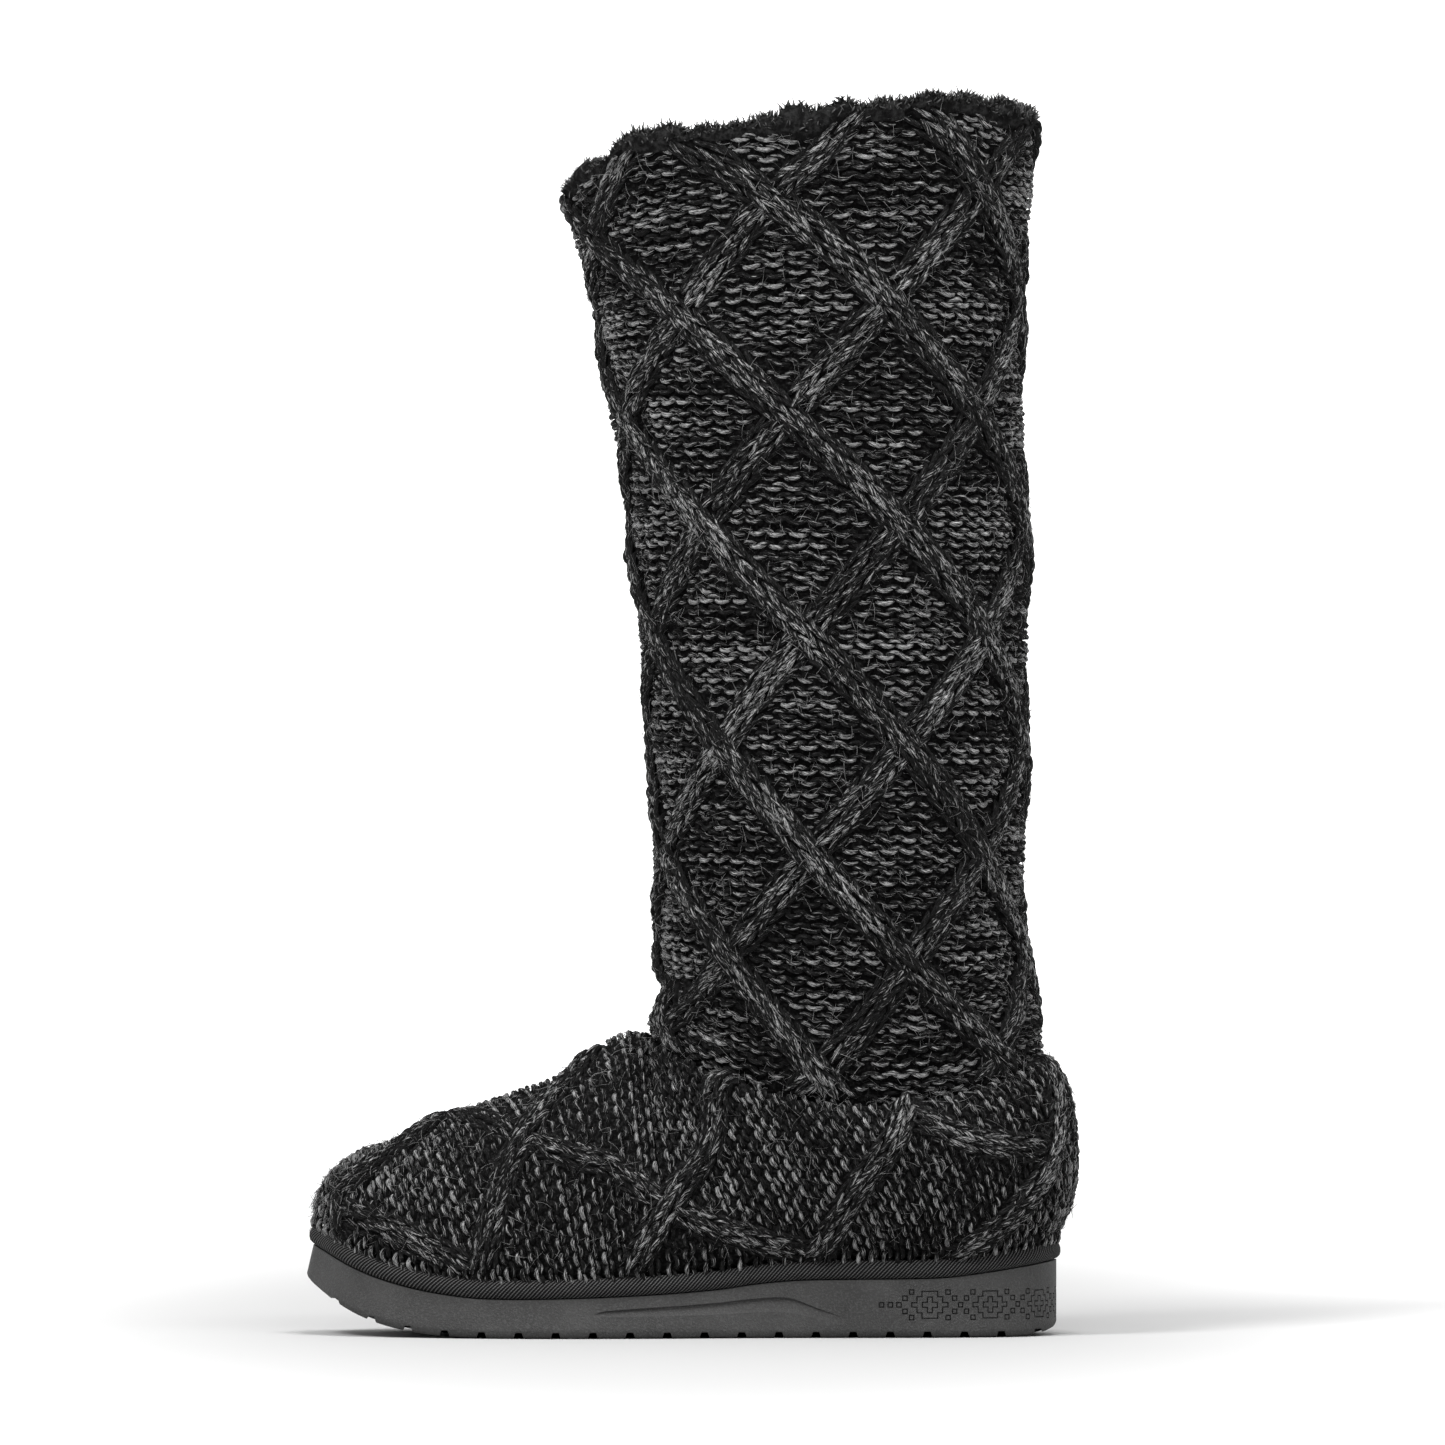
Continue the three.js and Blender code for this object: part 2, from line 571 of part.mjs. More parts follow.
function shaft() {
  const shell = new Shell();
  const levels = shaftLevels();
  const rounds = levels.map((level) => turns.map((turn) => shaftPoint(turn, level)));
  const normals = gridNormals(rounds);
  const hem = turns.map((turn) => hemPoint(turn, HEM_TUCK));
  const relief = levels.map((level, v) => turns.map((turn) => (v === 0 ? 0 : latticeRelief(turn, level))));
  const raised = rounds.map((round, v) => round.map((point, s) =>
    point.clone().addScaledVector(normals[v][s], relief[v][s])));
  const outer = [shell.ring(hem), ...raised.map((round, v) => shell.ring(round, relief[v]))];
  outer.slice(1).forEach((ring, v) => shell.bridge(outer[v], ring));
  const fromRim = levels.length - 1;
  const liningLevels = levels.filter((_, v) => v % 9 === 0 || v === fromRim - 2 || v === fromRim);
  const lining = liningLevels.map((level) => shell.ring(turns.map((turn) => shaftPoint(turn, level, WALL))));
  const inner = [shell.ring(turns.map((turn) => hemPoint(turn, WALL))), ...lining];
  inner.slice(1).forEach((ring, v) => shell.bridge(ring, inner[v]));
  shell.bridge(outer.at(-1), inner.at(-1));
  shell.bridge(inner[0], outer[0]);
  return shell.geometry();
}

// Fur collar: the fleece lining stands over the rim and runs a little way down inside. Locks are fused on top.
function furCollar() {
  const shell = new Shell();
  const profile = [
    { inward: GAP, up: GAP },
    { inward: 0, up: 0.65 * FUR_HEIGHT },
    { inward: WALL + FUR_THICKNESS, up: 0.35 * FUR_HEIGHT },
    { inward: WALL + 0.8 * FUR_THICKNESS, up: -FUR_REACH },
    { inward: WALL + 2 * GAP, up: -FUR_REACH },
    { inward: WALL + 2 * GAP, up: GAP },
  ];
  const onRim = (turn, inward, up) => {
    const point = shaftPoint(turn, RIM_HEIGHT + Math.min(0, up), inward);
    return point.setZ(point.z + Math.max(0, up));
  };
  const rings = profile.map(({ inward, up }) => shell.ring(turns.map((turn) => onRim(turn, inward, up))));
  rings.forEach((ring, i) => shell.bridge(ring, rings[(i + 1) % rings.length]));
  let collar = toSolid(shell.geometry());
  for (let i = 0; i < LOCKS; i++) {
    const lean = LOCK_LEAN * Math.sin(i * 2.4);
    const lock = new THREE.ConeGeometry(LOCK_WIDTH / 2, FUR_HEIGHT, 3, 1).translate(0, FUR_HEIGHT / 2, 0);
    lock.rotateX(Math.PI / 2).rotateX(lean).rotateY(LOCK_LEAN * Math.cos(i * 1.7));
    const inward = (WALL + FUR_THICKNESS) * (0.35 + 0.25 * Math.sin(i * 2.1));
    const root = onRim((i * 360) / LOCKS, inward, 0.4 * FUR_HEIGHT);
    collar = collar.add(toSolid(lock.translate(root.x, root.y, root.z)));
  }
  return toGeometry(collar);
}

// Materials
const knit = new THREE.MeshStandardMaterial({ color: 0x2b2b2c, roughness: 0.95, metalness: 0 });
const rubber = new THREE.MeshStandardMaterial({ color: 0x505052, roughness: 0.7, metalness: 0 });
const cloth = new THREE.MeshStandardMaterial({ color: 0x2a2a2a, roughness: 0.85, metalness: 0 });
const fur = new THREE.MeshStandardMaterial({ color: 0x262628, roughness: 1, metalness: 0 });
const foam = new THREE.MeshStandardMaterial({ color: 0x303032, roughness: 0.95, metalness: 0 });

function piece(name, geometry, material) {
  geometry.computeVertexNormals();
  const mesh = new THREE.Mesh(geometry, material);
  mesh.name = name;
  return mesh;
}

const boot = new THREE.Group();
boot.add(
  piece('outsole', outsole(), rubber),
  piece('insole', insole(), foam),
  piece('binding', binding(), cloth),
  piece('foot_upper', footUpper(), knit),
  piece('shaft', shaft(), knit),
  piece('fur_collar', furCollar(), fur),
);

// The origin is on the floor under the middle of the whole boot.
const box = new THREE.Box3().setFromObject(boot);
boot.position.set(-(box.min.x + box.max.x) / 2, -(box.min.y + box.max.y) / 2, -box.min.z);

export default boot;
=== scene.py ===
# %% [markdown]
# A knitted slouch boot stands empty on its sole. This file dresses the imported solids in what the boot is
# made of: stitches of marled yarn, raised rope cables, a fleece lining, a cloth binding and a moulded sole.
# Everything is worked out in millimetres on the same last as the solids, and turned into metres at the end.

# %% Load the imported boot
import math

import bpy
import numpy as np
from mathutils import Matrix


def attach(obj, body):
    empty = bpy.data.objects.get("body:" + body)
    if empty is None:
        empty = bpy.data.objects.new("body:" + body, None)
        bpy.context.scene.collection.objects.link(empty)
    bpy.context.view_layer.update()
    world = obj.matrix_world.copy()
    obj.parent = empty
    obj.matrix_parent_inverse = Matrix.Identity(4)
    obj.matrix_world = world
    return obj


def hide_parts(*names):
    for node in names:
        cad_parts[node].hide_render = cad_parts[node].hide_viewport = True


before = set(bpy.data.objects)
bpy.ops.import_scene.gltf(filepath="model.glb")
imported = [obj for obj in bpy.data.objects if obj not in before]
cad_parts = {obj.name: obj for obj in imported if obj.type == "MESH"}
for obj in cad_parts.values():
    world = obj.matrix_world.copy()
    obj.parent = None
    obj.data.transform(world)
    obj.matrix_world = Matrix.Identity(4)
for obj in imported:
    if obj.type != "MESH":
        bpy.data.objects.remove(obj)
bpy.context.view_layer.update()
print("solids:", sorted(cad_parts))

# %% [markdown]
# The last is the block that a boot is built over. Its sections go from the toe to the heel; each names how
# far the outline stands out on the outer and the inner side. Using the maker's own numbers again, rather
# than reading points from the solids, lets every stitch be placed by rule on the true surface. Only at the
# heel and along the ridge of the vamp does the knit stand a few millimetres off the solids' own line.

# %% Sizes of the last and the sole
SOLE_LENGTH = 264.0
BALL_WIDTH = 98.0
HEEL_WIDTH = 75.0
TOE_SWING = 7.0
TOE_SPRING = 18.5
SPRING_START = 0.34
SPRING_POWER = 4.3
HEEL_SPRING = 2.2
HEEL_SPRING_START = 0.95
SOLE_LIP = 31.5
SOLE_FLARE = 2.3
SOLE_EDGE = 3.0
WALL = 3.5
GAP = 0.3
SEAM_GAP = 0.5
TAPE_HEIGHT = 6.6
TAPE_THICKNESS = 1.8
TAPE_BULGE = 1.2
INSTEP_HEIGHT = 105.0
TOE_SWELL = 3.5
HEEL_SWELL = 17.0
SEAM_ROLL = 9.6
SEAM_LIFT = 3.0
# Shares of the foot's height and of its way in where the curve from binding to ridge bends.
LOW_BEND = 0.45
LOW_BEND_DROP = 0.17
RIDGE_PULL = 0.62

# Rows from toe to heel: along the sole, width measured, share on the outer side, share on the inner side.
SECTIONS = np.array([
    (0, BALL_WIDTH, 0, 0),
    (0.015, BALL_WIDTH, 0.1, 0.245),
    (0.045, BALL_WIDTH, 0.235, 0.347),
    (0.1, BALL_WIDTH, 0.35, 0.418),
    (0.17, BALL_WIDTH, 0.43, 0.46),
    (0.26, BALL_WIDTH, 0.49, 0.485),
    (0.34, BALL_WIDTH, 0.508, 0.475),
    (0.41, BALL_WIDTH, 0.498, 0.445),
    (0.475, BALL_WIDTH, 0.478, 0.413),
    (0.57, HEEL_WIDTH, 0.56, 0.493),
    (0.68, HEEL_WIDTH, 0.513, 0.473),
    (0.795, HEEL_WIDTH, 0.5, 0.487),
    (0.89, HEEL_WIDTH, 0.46, 0.453),
    (0.955, HEEL_WIDTH, 0.353, 0.347),
    (0.989, HEEL_WIDTH, 0.187, 0.187),
    (1, HEEL_WIDTH, 0, 0),
])
RIDGE = np.array([(0.024, 0.487), (0.042, 0.557), (0.076, 0.622), (0.127, 0.668),
                  (0.18, 0.732), (0.255, 0.793), (0.335, 0.862), (0.402, 0.968)])
# Where the knit swells over the ridge or sinks: section, reach in sections, millimetres up.
RIDGE_SWELLS = [(7.45, 0.5, 2.2), (3.3, 1.7, -1.7)]
SEAM_TURNS = np.array([180, 150, 121, 93, 67, 43, 21, 0])
SEAM_AT = len(RIDGE)
HEEL_AT = len(SECTIONS) - 1
SOLE_TOP = np.array([
    (0, 1), (0.048, 0.79), (0.087, 0.66), (0.135, 0.55), (0.186, 0.475), (0.236, 0.435), (0.338, 0.437),
    (0.45, 0.473), (0.55, 0.535), (0.6, 0.595), (0.66, 0.635), (0.84, 0.657), (0.89, 0.698), (0.94, 0.758),
    (0.987, 0.82), (1.02, 0.87),
])
print("sections of the last:", len(SECTIONS))


# %% Curves through the rows
def smooth(rows, column, place):
    """Value of a column of a table at a place, on a smooth curve through its rows."""
    xs = rows[:, 0]
    ys = rows[:, column]
    slope = np.empty(len(xs))
    slope[1:-1] = (ys[2:] - ys[:-2]) / (xs[2:] - xs[:-2])
    slope[0] = (ys[1] - ys[0]) / (xs[1] - xs[0])
    slope[-1] = (ys[-1] - ys[-2]) / (xs[-1] - xs[-2])
    i = np.clip(np.searchsorted(xs, place, side="right") - 1, 0, len(xs) - 2)
    span = xs[i + 1] - xs[i]
    t = np.clip((place - xs[i]) / span, 0, 1)
    rise = ys[i + 1] - ys[i]
    enter = slope[i] * span
    leave = slope[i + 1] * span
    return ys[i] + (((enter + leave - 2 * rise) * t + 3 * rise - 2 * enter - leave) * t + enter) * t


def spline(points, place, closed=False):
    """Points on a smooth curve; place counts the points that it runs through."""
    count = len(points)
    place = np.asarray(place, float)
    if closed:
        i = np.floor(place).astype(int)
        a, b, c, d = (points[(i + step) % count] for step in (-1, 0, 1, 2))
    else:
        i = np.clip(np.floor(place).astype(int), 0, count - 2)
        padded = np.vstack([2 * points[0] - points[1], points, 2 * points[-1] - points[-2]])
        a, b, c, d = (padded[i + step] for step in (0, 1, 2, 3))
    t = (place - i)[..., None]
    return 0.5 * (2 * b + (c - a) * t + (2 * a - 5 * b + 4 * c - d) * t**2 + (3 * b - a - 3 * c + d) * t**3)


def unit(vectors):
    """The same directions at a length of one."""
    length = np.linalg.norm(vectors, axis=-1, keepdims=True)
    return vectors / np.maximum(length, 1e-9)


def run_along(points):
    """Length from the first point to each point of a line."""
    return np.concatenate([[0], np.cumsum(np.linalg.norm(np.diff(points, axis=0), axis=1))])


def ease(low, high, value):
    """A soft step from 0 at low to 1 at high."""
    t = np.clip((value - low) / (high - low), 0, 1)
    return t * t * (3 - 2 * t)


def xyz(x, y, z):
    """Points from three sets of numbers."""
    return np.stack(np.broadcast_arrays(x, y, z), axis=-1).astype(float)


# %% Outline, side wall and tread of the sole
def lean(along):
    """How far the toe swings to the inner side."""
    return TOE_SWING * np.maximum(0, 1 - along / SPRING_START) ** 2


outer_side = xyz(SECTIONS[:, 0] * SOLE_LENGTH, lean(SECTIONS[:, 0]) - SECTIONS[:, 2] * SECTIONS[:, 1], 0)
inner_side = xyz(SECTIONS[:, 0] * SOLE_LENGTH, SECTIONS[:, 3] * SECTIONS[:, 1], 0)[1:-1][::-1]
OUTLINE = np.vstack([outer_side, inner_side])
ROUND = len(OUTLINE)


def wall_top(x):
    """Height of the top edge of the sole."""
    return SOLE_LIP * smooth(SOLE_TOP, 1, x / SOLE_LENGTH)


def tread_height(x):
    """Height of the tread, which lifts at toe and heel."""
    toe = np.maximum(0, 1 - x / (SPRING_START * SOLE_LENGTH)) ** SPRING_POWER
    heel = np.maximum(0, (x / SOLE_LENGTH - HEEL_SPRING_START) / (1 - HEEL_SPRING_START)) ** 2
    return TOE_SPRING * toe + HEEL_SPRING * heel


def flare(x):
    """How much further in the top of the side wall lies than its foot."""
    return SOLE_FLARE * (1 - x / SOLE_LENGTH)


def outline_at(place):
    """Point of the outline and the level direction out of it. place counts the sections all the way round."""
    point = spline(OUTLINE, place, closed=True)
    tangent = unit(spline(OUTLINE, place + 0.01, closed=True) - spline(OUTLINE, place - 0.01, closed=True))
    return point, xyz(tangent[..., 1], -tangent[..., 0], 0)


def inset(place, distance, height):
    """Point at a level distance in from the outline, at the height that the outline's own x gives."""
    point, outward = outline_at(place)
    moved = point - outward * np.asarray(distance)[..., None]
    moved[..., 2] = height
    return moved


way_round = run_along(outline_at(np.linspace(0, ROUND, 600))[0])
print("way round the sole:", round(float(way_round[-1])), "mm")

# %% [markdown]
# The shaft is an oval tube that stands by itself and slouches a little. A cloth simulation would put its
# folds where it liked, so they are listed one by one: each is one soft trough or ridge that fades out to all
# sides. A place on the shaft is given by degrees round it and by a level, and a function turns both into a
# point, so stitches, ropes and fleece all follow the same folds.

# %% Sizes of the shaft
RIM_HEIGHT = 427.0
RIM_SLANT = 13.5
RIM_DROP = 11.5
SEAM_HEIGHT = 82.3
SEAM_SLANT = 3.5
SEAM_RISE = 18.5
SHAFT_DEPTH = 134.0
SHAFT_WIDTH = 100.0
ANKLE_AT = 0.722
SEAM_FADE = 0.3
RIM_FADE = 0.6
RIM_WAVE_REACH = 28
# Rows from the ankle up: share of the height, front and back shares of the depth, share of the width.
SHAFT_SECTIONS = np.array([
    (0.17, 0.513, 0.513, 0.78), (0.235, 0.507, 0.5, 0.83), (0.286, 0.493, 0.468, 0.88),
    (0.368, 0.5, 0.453, 0.95), (0.489, 0.515, 0.458, 1), (0.614, 0.55, 0.465, 1),
    (0.696, 0.581, 0.458, 1), (0.778, 0.622, 0.447, 1), (0.857, 0.65, 0.45, 1.01),
    (0.941, 0.71, 0.477, 1.04), (1.01, 0.745, 0.49, 1.06),
])


def seam_height(c):
    """Height of the ankle seam; c is 1 at the back and -1 in front."""
    return SEAM_HEIGHT - SEAM_SLANT * c + SEAM_RISE * c * c


def oval_point(turn, level, grow):
    """Point of the shaft's oval. turn is in degrees from the back of the shaft round by the outer side."""
    share = np.maximum(level, SEAM_HEIGHT) / RIM_HEIGHT
    front, back, width = (smooth(SHAFT_SECTIONS, column, share) for column in (1, 2, 3))
    middle = ANKLE_AT * SOLE_LENGTH + SHAFT_DEPTH * (back - front) / 2
    depth = SHAFT_DEPTH * (back + front) / 2 + grow
    half = SHAFT_WIDTH * width / 2 + grow
    return xyz(middle + depth * np.cos(np.radians(turn)), -half * np.sin(np.radians(turn)), level)


# The knit's edge at the rim waves a little: degrees round from the back, and millimetres up.
RIM_WAVE = np.array([(0, -2), (13, -3.5), (32, -3), (46, 1), (56, 0.2), (65, -2), (78, -1.4), (88, -5.8),
                     (95, -3.8), (103, -1.4), (110, 0.3), (117, 0.2), (128, 3), (142, 5), (152, 2.4),
                     (163, 0), (180, -1), (205, 1.5), (230, -2), (262, 1), (290, -3), (325, 0.5),
                     (345, -1), (360, -2)], float)

# Soft folds where the empty shaft slouches. Rows: degrees round, level, half width in degrees, half height,
# millimetres that the fold climbs per degree, and its rise. A trough has a negative rise.
FOLDS = np.array([
    (176, 110, 46, 8, -0.06, -4.2), (172, 95, 40, 5, -0.1, 0.7), (150, 138, 40, 8, -0.2, -1.0),
    (158, 158, 44, 10, -0.22, 0.8), (176, 196, 36, 10, -0.1, -0.9), (166, 232, 40, 12, -0.15, 0.7),
    (184, 291, 34, 11, 0.1, -0.8), (160, 330, 38, 14, -0.12, 0.6), (14, 104, 42, 7, 0.16, 0.8),
    (6, 93, 36, 5, 0.1, -1.2), (20, 150, 36, 9, 0.22, -0.9), (8, 176, 34, 10, 0.12, 0.6),
    (12, 262, 32, 12, 0.15, -0.8), (4, 318, 34, 12, -0.1, 0.5), (92, 96, 44, 7, 0.03, 1.2),
    (100, 122, 32, 9, -0.12, -0.8), (72, 214, 30, 16, 0.2, -0.7), (112, 262, 28, 16, -0.22, 0.8),
    (88, 352, 34, 18, 0.1, -0.8), (232, 116, 40, 8, 0.15, 1.4), (252, 101, 44, 6, -0.08, -1.2),
    (288, 140, 40, 10, 0.2, 1.1), (300, 122, 36, 8, 0.16, -1.1), (240, 206, 36, 13, 0.2, -0.9),
    (276, 286, 34, 16, -0.16, 0.9), (258, 366, 34, 14, 0.12, -0.8),
])


def fold_height(turn, level):
    """How far the folds push the wall out at a place."""
    turn, level = np.broadcast_arrays(np.asarray(turn, float), np.asarray(level, float))
    total = np.zeros(turn.shape)
    for middle, height, reach, half, climb, rise in FOLDS:
        away = (turn - middle + 180) % 360 - 180
        along = np.maximum(0, 1 - (away / reach) ** 2) ** 1.5
        total += rise * along * np.exp(-((level - height - climb * away) / half) ** 2)
    return total


def shaft_point(turn, level, inward=0):
    """Point of the shaft's wall. The rim slants, and the ankle seam rises at front and back."""
    c = np.cos(np.radians(turn))
    share = (level - SEAM_HEIGHT) / (RIM_HEIGHT - SEAM_HEIGHT)
    low = np.maximum(0, 1 - share / SEAM_FADE) ** 2
    high = np.maximum(0, (share - RIM_FADE) / (1 - RIM_FADE)) ** 2
    point = oval_point(turn, level, fold_height(turn, level) - np.asarray(inward, float))
    lift = (seam_height(c) - SEAM_HEIGHT) * low + (RIM_SLANT * c - RIM_DROP * c * c) * high
    waving = ease(RIM_HEIGHT - RIM_WAVE_REACH, RIM_HEIGHT, level)
    lift = lift + smooth(RIM_WAVE, 1, np.asarray(turn) % 360) * waving
    point[..., 2] = level + lift
    return point


def seam_point(turn, side):
    """Point of the ankle seam. turn is 0 at the back and 180 in front; side is -1 outside and 1 inside."""
    point = oval_point(-side * turn, SEAM_HEIGHT, SEAM_GAP)
    point[..., 2] = seam_height(np.cos(np.radians(turn)))
    return point


print("rim, back and front:", shaft_point(np.array([0.0, 180.0]), RIM_HEIGHT)[:, 2].round(1))

# %% [markdown]
# The foot is skinned the way knit is pulled over a last. At each place round the outline one curve climbs
# from the binding, swells out, and closes in to the ridge of the vamp or rolls in to the ankle seam. A place
# on the foot is then given by how far round it lies and how far up that curve.

# %% Skin of the foot
ridge_rows = xyz(RIDGE[:, 0] * SOLE_LENGTH, lean(RIDGE[:, 0]), RIDGE[:, 1] * INSTEP_HEIGHT)
ridge_rows = np.vstack([ridge_rows, seam_point(np.array(180.0), 1)])
seam_rows = np.stack([np.arange(SEAM_AT, HEEL_AT + 1), SEAM_TURNS], axis=-1).astype(float)
ankle_middle = (seam_point(np.array(0.0), 1) + seam_point(np.array(180.0), 1)) / 2


def foot_point(place, girth):
    """Point of the foot's outer skin. girth goes from 0 at the binding to 1 at the ridge or ankle seam."""
    place = np.asarray(place, float) % ROUND
    side = np.where(place > HEEL_AT, 1, -1)
    section = np.where(place > HEEL_AT, ROUND - place, place)
    point, outward = outline_at(place)
    x = point[..., 0]
    ankle = inset(place, flare(x) + TAPE_THICKNESS + GAP, wall_top(x) + TAPE_HEIGHT + 2 * GAP)
    on_ridge = (section <= SEAM_AT)[..., None]
    on_seam = seam_point(smooth(seam_rows, 1, np.maximum(section, SEAM_AT)), side)
    crown = np.where(on_ridge, spline(ridge_rows, np.minimum(section, SEAM_AT - 1e-6)), on_seam)
    for middle, reach, swell in RIDGE_SWELLS:
        crown[..., 2] += swell * np.exp(-((section - middle) / reach) ** 2)
    rise = crown[..., 2] - ankle[..., 2]
    flat = (ankle - crown) * (1, 1, 0)
    away = unit((crown - ankle_middle) * (1, 1, 0))
    open_share = ease(SEAM_AT - 1, SEAM_AT + 1, section)
    lower = ankle + outward * (TOE_SWELL + (HEEL_SWELL - TOE_SWELL) * open_share)[..., None]
    lower[..., 2] = ankle[..., 2] + rise * (LOW_BEND - LOW_BEND_DROP * open_share)
    upper = crown + flat * (RIDGE_PULL * (1 - open_share))[..., None]
    upper = upper + away * (SEAM_ROLL * open_share)[..., None]
    upper[..., 2] += SEAM_LIFT * open_share
    t = np.asarray(girth, float)[..., None]
    return ankle * (1 - t)**3 + lower * 3 * t * (1 - t)**2 + upper * 3 * t**2 * (1 - t) + crown * t**3


# Directions on the skin are measured over these small steps: sections, share of girth, degrees, millimetres.
PLACE_STEP = 0.02
GIRTH_STEP = 0.01
TURN_STEP = 0.3
LEVEL_STEP = 0.5


def foot_frame(place, girth):
    """Point of the foot's skin and its outward normal."""
    across = foot_point(place + PLACE_STEP, girth) - foot_point(place - PLACE_STEP, girth)
    over, under = np.minimum(girth + GIRTH_STEP, 1), np.maximum(girth - GIRTH_STEP, 0)
    up = foot_point(place, over) - foot_point(place, under)
    return foot_point(place, girth), unit(np.cross(across, up))


def shaft_frame(turn, level):
    """Point of the shaft's wall and its outward normal."""
    across = shaft_point(turn - TURN_STEP, level) - shaft_point(turn + TURN_STEP, level)
    up = shaft_point(turn, level + LEVEL_STEP) - shaft_point(turn, level - LEVEL_STEP)
    return shaft_point(turn, level), unit(np.cross(across, up))


print("top of the vamp:", foot_point(np.array(8.0), np.array(1.0)).round(1))

# %% [markdown]
# Meshes with many thousand small faces are quickest from arrays: the points and the corners of the faces
# are worked out with numpy and handed over in one go. Each point also carries values of its own, such as
# how far along the yarn it lies, which the materials read later as attributes.

# %% From arrays to pieces
ORIGIN = np.array([-134.6545, 0.0, 0.0])
# Each strand reads the noise of its material this far from the strand before it.
STRAND_SHIFT = 0.731
piece_sizes = {}


def make_piece(name, slot, replaced, material, points, faces, **values):
    """A mesh object from points in millimetres and four-sided faces, riding on the boot."""
    mesh = bpy.data.meshes.new(name)
    points = (np.asarray(points).reshape(-1, 3) + ORIGIN) / 1000
    faces = np.asarray(faces).reshape(-1, 4)
    mesh.vertices.add(len(points))
    mesh.vertices.foreach_set("co", points.astype(np.float32).ravel())
    mesh.loops.add(faces.size)
    mesh.loops.foreach_set("vertex_index", faces.astype(np.int32).ravel())
    mesh.polygons.add(len(faces))
    mesh.polygons.foreach_set("loop_start", np.arange(0, faces.size, 4, dtype=np.int32))
    mesh.polygons.foreach_set("use_smooth", np.ones(len(faces), bool))
    for key, value in values.items():
        value = np.asarray(value, np.float32)
        kind, field = ("FLOAT_VECTOR", "vector") if value.shape[-1] == 3 else ("FLOAT", "value")
        mesh.attributes.new(key, kind, "POINT").data.foreach_set(field, value.ravel())
    mesh.update(calc_edges=True)
    mesh.materials.append(material)
    piece = bpy.data.objects.new(name, mesh)
    bpy.context.scene.collection.objects.link(piece)
    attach(piece, "root")
    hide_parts(replaced)
    piece_sizes[name] = 2 * len(faces)
    print(name, "triangles:", piece_sizes[name])
    return piece


def grid_faces(rows, columns, closed=False, flip=False):
    """Corners of the faces of a grid of points, rows by columns, joined round its columns if closed."""
    row = np.arange(rows - 1)[:, None] * columns
    column = np.arange(columns if closed else columns - 1)[None, :]
    after = (column + 1) % columns
    corners = [row + column, row + after, row + after + columns, row + column + columns]
    if flip:
        corners.reverse()
    return np.stack(np.broadcast_arrays(*corners), axis=-1).reshape(-1, 4)


def wool_tubes(paths, facing, radius, sides=4, shade=0.5, under=25):
    """Strands of yarn along paths[n, m]. They are open underneath, where they lie on the wall.

    under says how many degrees each side reaches round below the middle: at 90 a strand is closed.
    """
    count, long = paths.shape[:2]
    tangent = unit(np.gradient(paths, axis=1))
    across = unit(np.cross(tangent, facing))
    out = np.cross(across, tangent)
    angle = np.radians(np.linspace(-under, 180 + under, sides + 1))
    size = np.broadcast_to(np.asarray(radius, float), (count, long))[:, :, None, None]
    ring = np.cos(angle)[:, None] * across[:, :, None] + np.sin(angle)[:, None] * out[:, :, None]
    points = paths[:, :, None] + size * ring
    step = np.linalg.norm(np.diff(paths, axis=1), axis=2)
    along = np.concatenate([np.zeros((count, 1)), np.cumsum(step, axis=1)], axis=1)[:, :, None]
    around = np.linspace(0, 1, sides + 1)[None, None, :]
    number = np.arange(count)[:, None, None] * STRAND_SHIFT
    yarn = xyz(along, around, number)
    shade = np.asarray(shade, float)
    shade = shade if shade.ndim == 2 else shade[:, None]
    shades = np.broadcast_to(shade[:, :, None], yarn.shape[:3])
    first = np.arange(count)[:, None, None] * long * (sides + 1)
    i = np.arange(long - 1)[None, :, None] * (sides + 1)
    k = np.arange(sides)[None, None, :]
    corner = first + i + k
    faces = np.stack([corner, corner + sides + 1, corner + sides + 2, corner + 1], axis=-1).reshape(-1, 4)
    return points.reshape(-1, 3), faces, yarn.reshape(-1, 3), shades.reshape(-1)


def joined(parts):
    """Several sets of points, faces, yarn values and shades as one."""
    start = np.cumsum([0] + [len(part[0]) for part in parts[:-1]])
    faces = np.vstack([part[1] + first for part, first in zip(parts, start)])
    return (np.vstack([part[0] for part in parts]), faces, np.vstack([part[2] for part in parts]),
            np.concatenate([part[3] for part in parts]))


# %% [markdown]
# Shader maths reads best as plain expressions. A small class wraps a socket, so that adding or multiplying
# two of them adds the Math node behind it. Every other node comes from one method, which sets the node's
# own settings first and then fills or links its sockets.

# %% A socket that can be reckoned with
class Field:
    """A value that varies over a surface: one output socket of a node."""

    def __init__(self, finish, socket):
        self.finish = finish
        self.socket = socket

    def maths(self, operation, first, second=0.0):
        node = self.finish.node("Math", {"operation": operation}, {0: first, 1: second})
        return Field(self.finish, node.outputs[0])

    def __add__(self, other):
        return self.maths("ADD", self, other)

    __radd__ = __add__

    def __sub__(self, other):
        return self.maths("SUBTRACT", self, other)

    def __rsub__(self, other):
        return self.maths("SUBTRACT", other, self)

    def __mul__(self, other):
        return self.maths("MULTIPLY", self, other)

    __rmul__ = __mul__

    def __abs__(self):
        return self.maths("ABSOLUTE", self)

    def wave(self):
        return self.maths("SINE", self)

    def power(self, exponent):
        return self.maths("POWER", self, exponent)

    def fade(self, low, high):
        """0 below low, 1 above high and a soft step between."""
        settings = {"interpolation_type": "SMOOTHSTEP"}
        node = self.finish.node("MapRange", settings, {0: self, 1: low, 2: high})
        return Field(self.finish, node.outputs[0])


